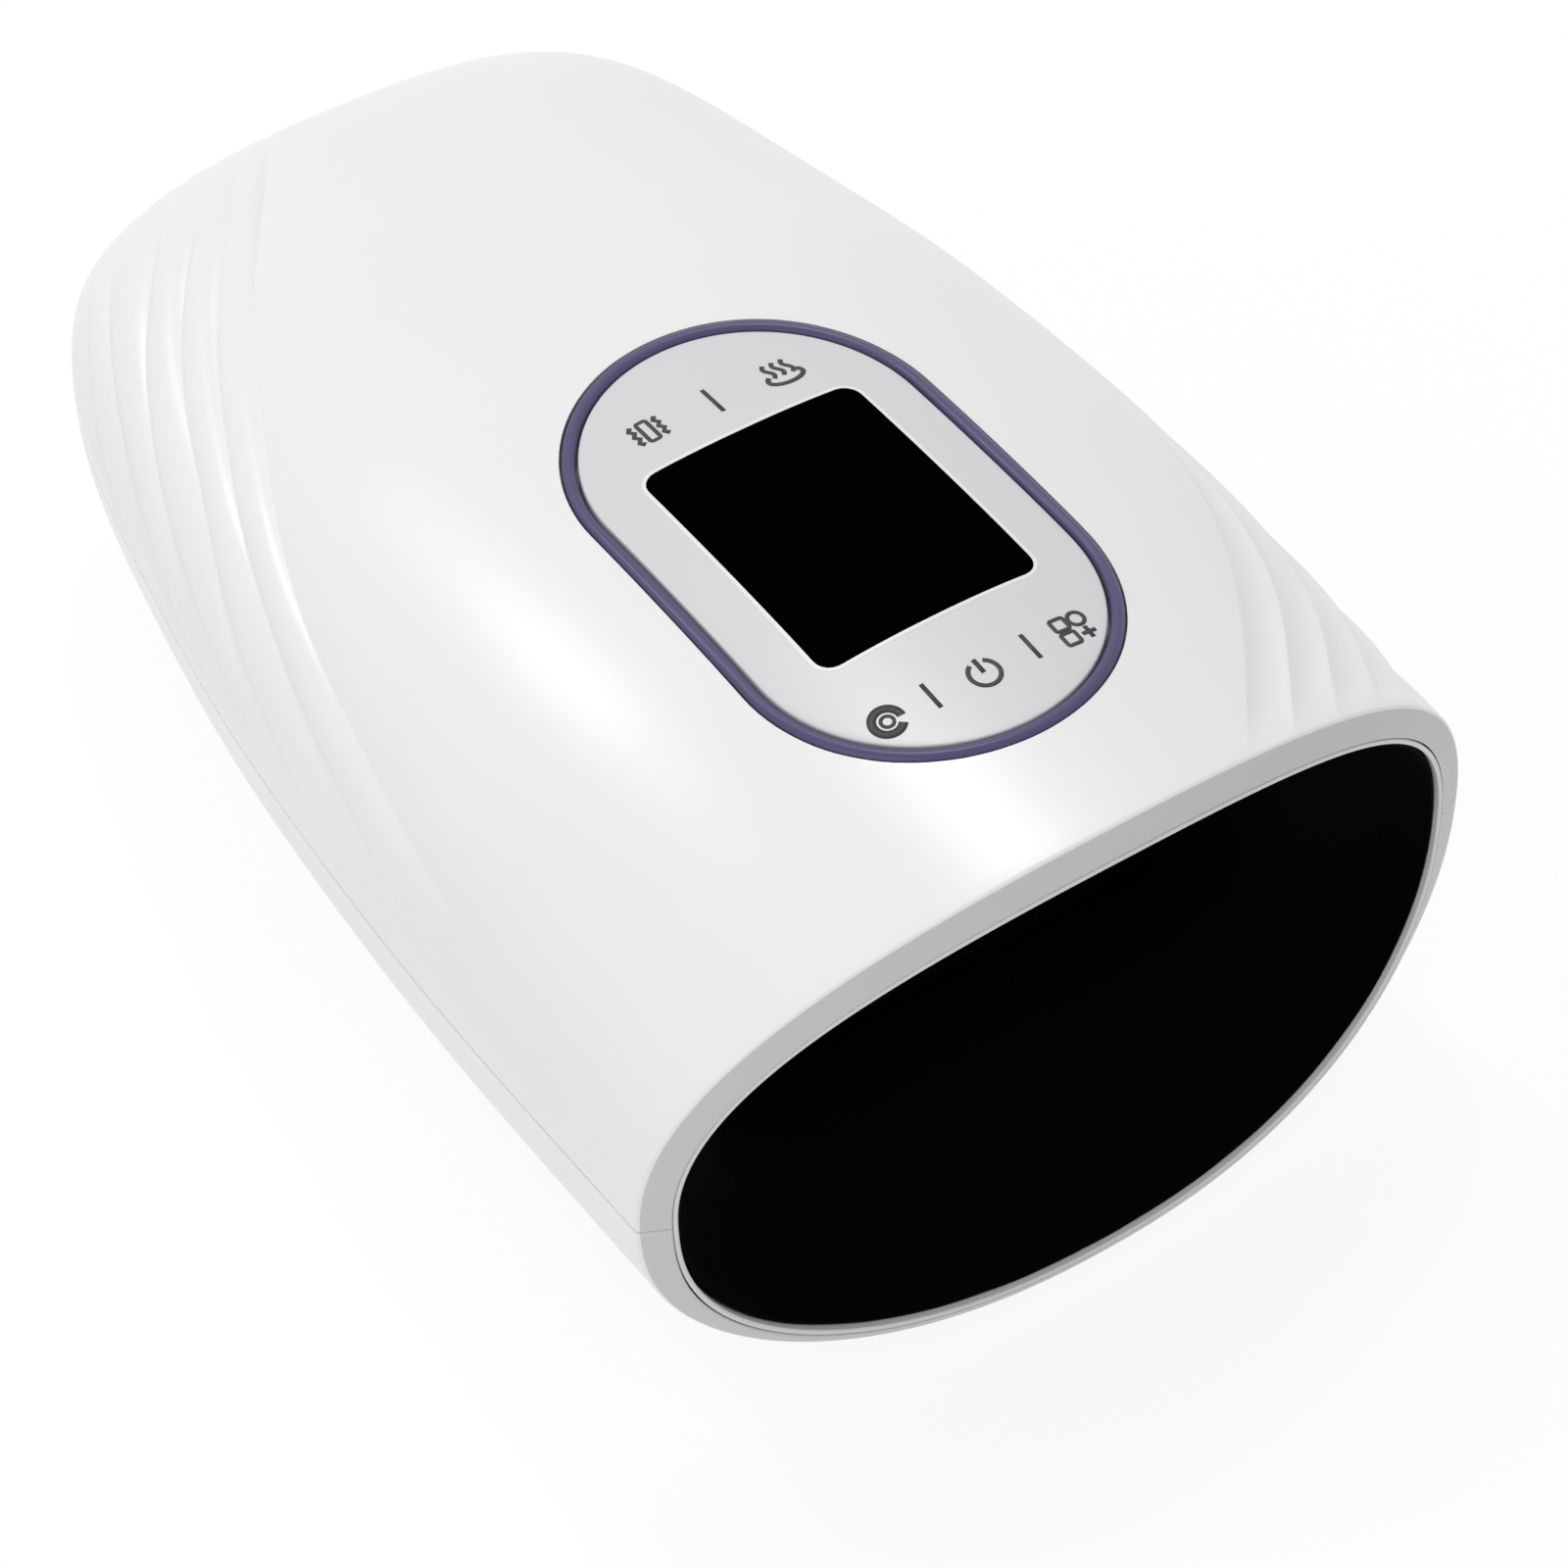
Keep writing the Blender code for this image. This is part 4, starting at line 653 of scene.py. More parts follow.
def belly_mouth_row(from_mouth):
    """The mouth's inner edge under the belly."""
    half, _, depth = mouth_section()
    x, z = joined(quarter(half, depth, rim_belly_power, np.linspace(0, 1, belly_columns)))
    return bowed(x, -z, mouth_y + from_mouth, mouth_bow, half)


def loop_row(sizes, powers, from_mouth, bow, columns):
    """A closed loop at a distance from the mouth, of a half width, a rise and a depth."""
    half, rise, depth = sizes
    shares = np.linspace(0, 1, columns)
    x, z = quarter(half, rise, powers[0], shares)
    low_x, low_z = quarter(half, depth, powers[1], shares)
    xs = np.concatenate([-x, x[-2::-1], low_x[1:], -low_x[-2::-1]])
    zs = np.concatenate([z, z[-2::-1], -low_z[1:], -low_z[-2::-1]])
    return bowed(xs, zs, mouth_y + from_mouth, bow, half)


def casing_rows(outer, mouth, inner, rows):
    """Rows of one shell: outside from the nose to the mouth, round the rim and back inside."""
    spread = 1 - (1 - np.linspace(0, 1, rows)) ** nose_crowding
    rim_row, mouth_row = outer(0.0), mouth(0.0)
    towards = [rim_row + (mouth_row - rim_row) * share for share in rim_shares]
    listed = [np.tile((0, nose_y, parting), (len(rim_row), 1))]
    listed += [outer(u) for u in spread[::-1] if first_station < u < last_station]
    listed += corner_rows(outer(edge_station), rim_row, towards[0])
    rim_from = len(listed) - 1
    listed += towards[1:4]
    listed += corner_rows(towards[4], mouth_row, mouth(lip_round))
    rim_to = len(listed) - 3
    listed += [mouth(depth) for depth in land_depths]
    inside = 1 - (1 - np.linspace(0, 1, inner_rows)) ** 2
    listed += [inner(inner_start + (1 - inner_start) * u) for u in inside if u < inner_stop]
    listed.append(np.tile((0, nose_y - wall, parting), (len(rim_row), 1)))
    return listed, rim_from, rim_to


def build_shell(name, rows, lift, materials, node):
    """Makes a shell from its rows, with the rim's darker finish, which is painted shade, between
    two of them.
    """
    listed, rim_from, rim_to = rows
    bm = bmesh.new()
    for number, vert in enumerate(lay_grid(bm, listed)):
        vert.select = rim_from <= number // len(listed[0]) <= rim_to
    for face in bm.faces:
        face.material_index = 1 if all(vert.select for vert in face.verts) else 0
    close(bm, weld * 2)
    bmesh.ops.translate(bm, vec=(0, 0, lift), verts=bm.verts)
    return new_piece(name, bm, materials, "casing_white", replaces=(node,), sharp=62)


class CasingSettings(bpy.types.PropertyGroup):
    flute_depth: FloatProperty(
        name="Flute depth", description="How far the flutes sink into the flanks",
        default=0.0011, min=0.0, max=0.0018, unit="LENGTH",
    )
    colour: FloatVectorProperty(
        name="Casing colour", description="Colour of both shells",
        default=(0.885, 0.885, 0.887), size=3, min=0, max=1, subtype="COLOR",
    )
    # The rim's colour is the casing's white made darker: painted shade on the bevelled face, which
    # faces the mouth and gets less light.
    rim_shade_colour: FloatVectorProperty(
        name="Rim colour", description="Colour of the bevelled face round the mouth",
        default=(0.62, 0.63, 0.64), size=3, min=0, max=1, subtype="COLOR",
    )


class PanelSettings(bpy.types.PropertyGroup):
    colour: FloatVectorProperty(
        name="Panel colour", description="Colour of the touch panel",
        default=(0.70, 0.705, 0.715), size=3, min=0, max=1, subtype="COLOR",
    )
    ring_colour: FloatVectorProperty(
        name="Ring colour", description="Colour of the bead round the panel",
        default=(0.075, 0.063, 0.160), size=3, min=0, max=1, subtype="COLOR",
    )
    print_colour: FloatVectorProperty(
        name="Print colour", description="Colour of the printed signs",
        default=(0.022, 0.022, 0.025), size=3, min=0, max=1, subtype="COLOR",
    )
    line_width: FloatProperty(
        name="Line width", description="Width of the printed lines",
        default=0.00066, min=0.0001, max=0.001, unit="LENGTH",
    )


class PocketSettings(bpy.types.PropertyGroup):
    colour: FloatVectorProperty(
        name="Cloth colour", description="Colour of the pocket and its cushions",
        default=(0.0016, 0.0016, 0.0018), size=3, min=0, max=1, subtype="COLOR",
    )
    channels: IntProperty(
        name="Channels", description="Sewn channels across each cushion", default=5, min=1, max=9,
    )


class StageSettings(bpy.types.PropertyGroup):
    lamp_power: FloatProperty(
        name="Lamp power", description="Power of the main lamp, which the others follow",
        default=2.7, min=0, unit="POWER",
    )
    sky_strength: FloatProperty(
        name="Sky strength", description="Even light from all round", default=0.59, min=0,
    )


# Camera, floor and lamps; each lamp's place, size and share of the main lamp's power.
camera_lens, camera_sensor = 102.96, 36.0
camera_place = (-0.2760, -0.4390, 0.5590)
camera_aim = (0.00002, -0.03316, 0.0277)
floor_size = 3
floor_shade, floor_glow, glow_share = 0.80, 1.06, 0.82
lamp_aim = (0, 0, 0.05)
lamps = {
    "back_right_lamp": ((0.246, 0.376, 1.161), 0.24, 1.0),
    "back_left_lamp": ((-0.406, 0.664, 0.987), 0.24, 0.8),
    "left_fill": ((-1.00, -0.60, 0.45), 1.0, 1.0),
}


def put_aimed(name, data, place, aim):
    """Stands a camera or a lamp at a place, turned to what it aims at."""
    made = put(name, data)
    made.location = place
    made.rotation_euler = (Vector(aim) - Vector(place)).to_track_quat("-Z", "Y").to_euler()
    return made


class MASSAGER_OT_stage(bpy.types.Operator):
    """Makes the camera, the floor, the lamps and the even light"""
    bl_idname = "massager.stage"
    bl_label = "Stage"

    def execute(self, context):
        settings = context.scene.massager_stage
        data = bpy.data.cameras.new("studio_camera")
        data.lens = camera_lens
        data.sensor_width = camera_sensor
        context.scene.camera = put_aimed("studio_camera", data, camera_place, camera_aim)
        context.scene.view_settings.view_transform = "Standard"
        bm = bmesh.new()
        bmesh.ops.create_grid(bm, x_segments=2, y_segments=2, size=floor_size)
        make = Finish("floor_white")
        white = (1, 1, 1, 1)
        matte = make.add("ShaderNodeBsdfDiffuse", values={"Color": opaque((floor_shade,) * 3)})
        glow = make.add("ShaderNodeEmission", values={"Color": white, "Strength": floor_glow})
        share = make.looked_at() * glow_share
        mixed = make.add("ShaderNodeMixShader", values={0: share, 1: matte, 2: glow})
        make.add("ShaderNodeOutputMaterial", values={"Surface": mixed})
        floor = new_piece("floor", bm, make.owner, None, body=None)
        sky = Finish("even_light", "worlds")
        context.scene.world = sky.owner
        even, full = (
            sky.add("ShaderNodeBackground", values={"Strength": strength, "Color": white})
            for strength in (settings.sky_strength, 1.0)
        )
        mixed = sky.add("ShaderNodeMixShader", values={0: sky.looked_at(), 1: even, 2: full})
        sky.add("ShaderNodeOutputWorld", values={"Surface": mixed})
        for name, (place, size, share) in lamps.items():
            data = bpy.data.lights.new(name, "AREA")
            data.shape = "DISK"
            data.size = size
            data.energy = settings.lamp_power * share
            put_aimed(name, data, place, lamp_aim)
        return {"FINISHED"}


class MASSAGER_OT_casing(bpy.types.Operator):
    """Builds the fluted upper shell and the lower shell with the bevelled rim of the mouth"""
    bl_idname = "massager.casing"
    bl_label = "Casing"

    def execute(self, context):
        settings = context.scene.massager_casing
        depth = settings.flute_depth
        polish = {"mottle": 0.012, "grain": 3200, "depth": 0.000004}
        white = moulded("casing_white", settings.colour, 0.31, **polish)
        # The rim's finish is a darker copy of the casing's white: painted shade on the bevelled
        # face.
        rim = moulded("rim_painted_shade", settings.rim_shade_colour, 0.42, **polish)
        rows = casing_rows(
            lambda u: crown_row(u, depth), lambda d: crown_mouth_row(d, depth),
            lambda u: crown_row(u, depth, wall, False), upper_rows,
        )
        upper = build_shell("upper_casing", rows, parting_gap / 2, (white, rim), "upper_shell")
        self.panel_opening(upper)
        self.seat(white)
        rows = casing_rows(belly_row, belly_mouth_row, lambda u: belly_row(u, wall), lower_rows)
        lower = build_shell("lower_casing", rows, -parting_gap / 2, (white, rim), "lower_shell")
        self.lower_openings(lower)
        for number, (x, place) in enumerate(screw_places, 1):
            self.screw_well(number, x, mouth_y + place, white)
        return {"FINISHED"}

    def panel_opening(self, upper):
        """Cuts the opening under the panel right through the crown."""
        outline = rounded_outline(ring_shape, ring_points) + (0, mouth_y + panel_middle)
        low, high = parting + 0.03, parting + 0.07
        bm = bmesh.new()
        lay_grid(bm, [np.c_[outline, np.full(len(outline), z)] for z in (low, high)])
        merge(bm)
        bmesh.ops.holes_fill(bm, edges=bm.edges, sides=0)
        face_outwards(bm)
        cut(upper, bm, "panel_opening")

    def seat(self, material):
        """The ledge under the edge of the panel."""
        past, top, low = -0.0010, -panel_seat, -panel_seat - 0.0016
        start = (past, -0.0030)
        profile = (start, (0.0, top), (seat_border, top), (seat_border, low), (past, low), start)
        rows = crown_rows(ring_shape, ring_points, panel_middle, profile)
        from_rows("panel_seat", rows, material, "casing_white")

    def lower_openings(self, lower):
        """Cuts the screws' bores, the cups of the feet and the charging inlet."""
        bm = bmesh.new()
        for places, segments, radius, depth, z in (
            (screw_places, 32, well_radius, bore_reach * 2, well_top - bore_reach),
            (foot_places, 40, cup_radius, cup_depth, 0.0),
        ):
            for x, place in places:
                made = bmesh.ops.create_cone(
                    bm, cap_ends=True, segments=segments, radius1=radius, radius2=radius,
                    depth=depth,
                )["verts"]
                bmesh.ops.translate(bm, vec=(x, mouth_y + place, z), verts=made)
        slot = bmesh.ops.create_cube(bm, size=1)["verts"]
        bmesh.ops.scale(bm, vec=inlet_size, verts=slot)
        bmesh.ops.translate(bm, vec=(0, nose_y, inlet_height), verts=slot)
        cut(lower, bm, "lower_openings")

    def screw_well(self, number, x, y, material):
        """The tube that a screw runs in, from the belly's wall up."""
        half, _, depth, _ = section(station_at(y))
        foot = parting - depth * (1 - abs(x / half) ** belly_power) ** (1 / belly_power) + well_lift
        sides = (well_radius, well_outer, well_outer, well_radius, well_radius)
        turns = np.linspace(0, tau, 33)
        rows = [
            np.stack([x + radius * np.cos(turns), y + radius * np.sin(turns), np.full(33, z)], 1)
            for radius, z in zip(sides, (foot, foot, well_top, well_top, foot))
        ]
        from_rows(f"screw_well_{number}", rows, material, "casing_white")


# The ring that clamps the pocket.
clamp_thick = 0.0008
clamp_back, clamp_chamfer, clamp_middle, clamp_front = 0.0065, 0.0063, 0.0035, 0.0005
lip_place, lip_reach = 0.0003, 0.0002


class MASSAGER_OT_mouth(bpy.types.Operator):
    """Builds the thin bright ring that clamps the pocket in the mouth"""
    bl_idname = "massager.mouth"
    bl_label = "Mouth ring"

    def execute(self, context):
        colour = (0.74, 0.745, 0.75)
        white = moulded("ring_white", colour, 0.32, mottle=0.01, grain=3200, depth=0.000003)
        outer, inner = bore_gap, bore_gap + clamp_thick
        middle = (outer + inner) / 2
        sides = (clamp_chamfer, clamp_middle, clamp_front)
        profile = [(middle, clamp_back)] + [(outer, depth) for depth in sides]
        for turn in np.linspace(0, pi, 9):
            inset = middle - cos(turn) * (inner - outer) / 2
            profile.append((inset, lip_place - sin(turn) * lip_reach))
        profile += [(inner, depth) for depth in sides[::-1]] + [(middle, clamp_back)]
        powers = (crown_power_mouth, rim_belly_power)
        rows = [
            loop_row(mouth_section(inset), powers, depth, mouth_bow, mouth_points)
            for inset, depth in profile
        ]
        from_rows("mouth_ring_lip", rows, white, "casing_white", replaces=("mouth_ring",))
        return {"FINISHED"}


def matched(outline, other):
    """Points of one outline in the directions in which another's points lie."""
    turns = np.unwrap(np.arctan2(outline[:, 1], outline[:, 0]))
    reach = np.hypot(outline[:, 0], outline[:, 1])
    wanted = np.arctan2(other[:, 1], other[:, 0])
    wanted = (wanted - turns[0]) % tau + turns[0]
    found = np.interp(wanted, turns, reach)
    return np.stack([np.cos(wanted) * found, np.sin(wanted) * found], 1)


def crown_slab(name, middle, outline, lift, thick, edge, material, slot, hole=None, **options):
    """A plate that follows the crown, with a rounded upper edge and, if asked, a hole in it."""
    shape = rounded_outline(outline, slab_points, edge)
    within = matched(rounded_outline(hole, hole_points), shape) if hole else shape * 0.0
    rows = [on_crown(within, middle, lift - thick), on_crown(within, middle, lift)] if hole else []
    for share in (0.0, 0.12, 0.3, 0.5, 0.68, 0.82, 0.92, 1.0)[1 if hole else 0:]:
        rows.append(on_crown(within + (shape - within) * share, middle, lift))
    turns = np.linspace(0, pi / 2, 5)[1:]
    rounding = [(edge * (1 - sin(turn)), lift - edge * (1 - cos(turn))) for turn in turns]
    rows += crown_rows(outline, slab_points, middle, rounding)
    shape = rounded_outline(outline, slab_points)
    for share in (1.0, 0.6, 0.0):
        rows.append(on_crown(within + (shape - within) * share, middle, lift - thick))
    return from_rows(name, rows, material, slot, **options)


# Finer sizes of the panel: how far it lies under the crown, its edges' radii and the bright border.
panel_sunk = 0.0001
panel_edge, window_edge = 0.00035, 0.00015
window_gap, border_gap = 0.0001, 0.00002
border_width, border_sunk, border_low = 0.0006, 0.00004, 0.0004


def grown(shape, more, corner=0.0):
    """A shape's half width and half length made larger, and its corner by as much as told."""
    return shape[0] + more, shape[1] + more, shape[2] + corner


class MASSAGER_OT_panel(bpy.types.Operator):
    """Builds the touch panel, its window with a bright border, and the bead round it"""
    bl_idname = "massager.panel"
    bl_label = "Control panel"

    def execute(self, context):
        settings = context.scene.massager_panel
        grey = moulded(
            "panel_grey", settings.colour, 0.34, mottle=0.012, grain=3000, depth=0.000003
        )
        crown_slab(
            "touch_panel", panel_middle, [size - panel_inset for size in ring_shape], -panel_sunk,
            panel_thick, panel_edge, grey, "panel_grey", replaces=("control_panel",),
            hole=grown(window_shape, window_gap, window_gap),
        )
        crown_slab(
            "display_window", window_middle, window_shape, 0.0, panel_thick, window_edge,
            dark_glass("window_black"), "window_black", replaces=("screen_window",),
        )
        line = moulded(
            "border_white", (0.86, 0.86, 0.87), 0.4, mottle=0.01, grain=3000, depth=0.000002
        )
        start, top = (0, -border_low), -border_sunk
        profile = (start, (0, top), (-border_width, top), (-border_width, -border_low), start)
        rows = crown_rows(grown(window_shape, border_gap), slab_points, window_middle, profile)
        from_rows("window_border", rows, line, "panel_grey")
        self.ring(settings)
        return {"FINISHED"}

    def ring(self, settings):
        """The bead that runs round the panel."""
        purple = moulded(
            "ring_purple", settings.ring_colour, 0.34, mottle=0.05, grain=3000, depth=0.000004,
            gloss=0.4,
        )
        shape = [size - (ring_bead + bore_gap) for size in ring_shape]
        outline = rounded_outline(shape, bead_points)
        middles = on_crown(outline, panel_middle, ring_proud - ring_bead)
        rows = bead_rows(middles, outwards_of(shape, bead_points), ring_bead, ring_bead, 24)
        from_rows("panel_bead", rows, purple, "ring_purple", replaces=("panel_ring",))


print_sunk, ink_thick = 0.00005, 0.00004


def ribbon(bm, points, width, closed):
    """Lays a printed line along points (x, distance from the mouth) on the panel."""
    points = np.array(points, float)
    if closed:
        points = np.concatenate([points, points[:1]])
        ahead = np.concatenate([points[1:], points[1:2]])
        ahead -= np.concatenate([points[-2:-1], points[:-1]])
    else:
        ahead = np.gradient(points, axis=0)
    ahead /= np.linalg.norm(ahead, axis=1)[:, None]
    normal = np.stack([-ahead[:, 1], ahead[:, 0]], 1)
    edges = (points + normal * side * width for side in (-0.5, 0.5))
    lay_grid(bm, [on_crown(edge, 0.0, -print_sunk) for edge in edges])


def arc_points(x, y, radius, start, end, count=40, tall=1.0):
    turns = np.radians(np.linspace(start, end, count))
    return np.stack([x + radius * np.cos(turns), y + radius * tall * np.sin(turns)], 1)


def box_points(x, y, half_width, half_length):
    return rounded_outline((half_width, half_length, 0.0004), sign_points)[:-1] + (x, y)


# Each sign yields its strokes: points, width as a share of the line width, and whether it closes.
def vibration(x, y):
    yield box_points(x, y, 0.00088, 0.00240), 1.0, True
    away, swing, step = 0.0022, 0.00030, 0.00078
    for side in (-1, 1):
        zigzag = [(x + side * away + swing * (-1) ** n, y + step * (n - 3)) for n in range(7)]
        yield zigzag, 1.3, False


def warmth(x, y):
    low, high, sway = -0.0008, 0.0028, 0.00046
    heights = np.linspace(low, high, 24)
    for offset in (-0.0017, 0.0, 0.0017):
        bend = sway * np.sin((heights - low) / (high - low) * tau)
        yield np.stack([x + offset + bend, y + heights], 1), 1.15, False
    yield arc_points(x, y - 0.0012, 0.0031, 142, 398, 50, tall=0.48), 1.25, False


def pressure(x, y):
    yield arc_points(x, y, 0.0023, -6, 322, 70), 2.1, False
    yield arc_points(x, y, 0.00098, 0, 360), 0.85, False


def power(x, y):
    yield arc_points(x, y, 0.00240, 118, 422, 60), 1.1, False
    yield [(x, y + along) for along in (0.0001, 0.0015, 0.0029)], 1.15, False


def mode(x, y):
    off, half, arm = 0.0015, 0.00118, 0.0012
    for side in (1, -1):
        yield box_points(x - off, y + side * off, half, half), 1.0, True
    yield arc_points(x + off, y + off, 0.00128, 0, 360), 1.0, False
    across, middle = x + 0.0017, y - off
    yield [(across + along, middle) for along in (-arm, 0, arm)], 1.1, False
    yield [(across, middle + along) for along in (-arm, 0, arm)], 1.1, False


def divider(x, low, high):
    yield [(x, low), (x, (low + high) / 2), (x, high)], 1.1, False


class MASSAGER_OT_signs(bpy.types.Operator):
    """Prints the signs of the touch keys on the panel"""
    bl_idname = "massager.signs"
    bl_label = "Printed signs"

    def execute(self, context):
        settings = context.scene.massager_panel
        ink = moulded("print_grey", settings.print_colour, 0.5, mottle=0.1, depth=0.000002)
        signs = {
            "vibration_sign": [vibration(-0.0121, 0.1076)], "warmth_sign": [warmth(0.0120, 0.1072)],
            "pressure_sign": [pressure(-0.0170, 0.0377)], "power_sign": [power(-0.0004, 0.0371)],
            "mode_sign": [mode(0.0160, 0.0377)],
            "divider_lines": [
                divider(-0.0004, 0.1044, 0.1106), divider(-0.0093, 0.0353, 0.0404),
                divider(0.0083, 0.0352, 0.0404),
            ],
        }
        for name, drawn in signs.items():
            bm = bmesh.new()
            for strokes in drawn:
                for points, share, closed in strokes:
                    ribbon(bm, points, settings.line_width * share, closed)
            merge(bm, weld / 2)
            bm.normal_update()
            bmesh.ops.reverse_faces(bm, faces=[face for face in bm.faces if face.normal.z < 0])
            thicken(new_piece(name, bm, ink, "rubber_dark"), "ink_thickness", ink_thick, -1)
        return {"FINISHED"}


# The pocket and what presses on it.
liner_half, liner_rise, liner_depth, liner_power = 0.0525, 0.0203, 0.0242, 4.0
liner_throat = 0.036
liner_end = 0.1775
liner_thick = 0.0006
cloth_start = fit_gap * 2 + 0.0004
cloth_around = 0.40
end_round, end_reach, end_gap, end_shrink = 0.010, 0.009, 0.0008, 0.30
fold_depth, fold_place = 0.00022, 0.02
folds = ((17, 30, 0.5), (29, -55, 0.3))
window_margin = 0.0015
cushion_corner = 0.014
hem_corner, hem_half, hem_place, hem_rise, hem_sunk = 0.006, 0.0016, 0.0008, 0.00045, 0.0003
skirt_inset, skirt_thick, skirt_open = 0.0002, 0.0006, 0.022
over = Sizes(
    half=0.044, front=0.047, back=0.171, face=0.065, behind=0.0703, crown=0.0015, channel=0.0016,
    skirt=(0.0698, 0.0740),
)
under = Sizes(
    half=0.040, front=0.045, back=0.165, face=0.0258, behind=0.0218, crown=0.0012, channel=0.0013,
    skirt=(0.0177, 0.0224),
)


def pocket_row(from_mouth, shrink=1.0):
    """A loop of the pocket's cloth at a distance from the mouth."""
    start = fit_gap * 2
    ease = fade(from_mouth, (start, liner_throat))

    def blend(mouth, pocket):
        return mouth + (pocket - mouth) * ease

    inset = liner_thick / 2
    edge = mouth_section(bore_gap * 2 + clamp_thick + inset)
    liner = (liner_half, liner_rise, liner_depth)
    sizes = [blend(mouth, pocket - inset) * shrink for mouth, pocket in zip(edge, liner)]
    powers = [blend(power, liner_power) for power in (crown_power_mouth, rim_belly_power)]
    return loop_row(sizes, powers, from_mouth, mouth_bow * (1 - ease), pocket_points)


def pad_rows(press, channels):
    """Rows of a pad: a crowned face with sewn channels, pulled-in sides and a flat back."""
    pull, edge_share, channel_width = 0.018, 0.46, 0.0013
    welt_share, welt_width, welt_depth = 0.86, 0.0011, 0.8
    middle, half_length = mouth_y + (press.front + press.back) / 2, (press.back - press.front) / 2
    shape = rounded_outline((press.half, half_length, cushion_corner), pad_points)
    reach = np.hypot(shape[:, 0] / press.half, shape[:, 1] / half_length)
    shape *= (1 - pull * (1 - (reach - reach.min()) / (reach.max() - reach.min())))[:, None]
    thick, facing = abs(press.behind - press.face), copysign(1, press.face - press.behind)
    edge = thick * edge_share
    gap = 2 * half_length / (channels + 1)
    places = [gap * line - half_length for line in range(1, channels + 1)]
    rows = []
    shares = [*np.linspace(0, 0.94, 46), 0.955, 0.97, 0.982, 0.991, 0.997, 1.0]
    for share in shares:
        x, y = (shape * share).T
        dome = (1 - share**6) ** 0.5
        high = edge + (thick - edge - press.crown) * dome + press.crown * (1 - share**2)
        seam = sum(np.exp(-((y - place) / channel_width) ** 2) for place in places)
        seam = seam + np.exp(-((share - welt_share) * press.half / welt_width) ** 2) * welt_depth
        high = high - np.clip(seam, 0, 1) * press.channel * dome
        rows.append(np.stack([x, y + middle, press.behind + facing * high], 1))
    for share, lift in ((0.997, 0.28), (0.985, 0.12), (0.965, 0.0), (0.5, 0.0), (0.0, 0.0)):
        x, y = (shape * share).T
        z = np.full(len(x), press.behind + facing * thick * lift)
        rows.append(np.stack([x, y + middle, z], 1))
    return rows


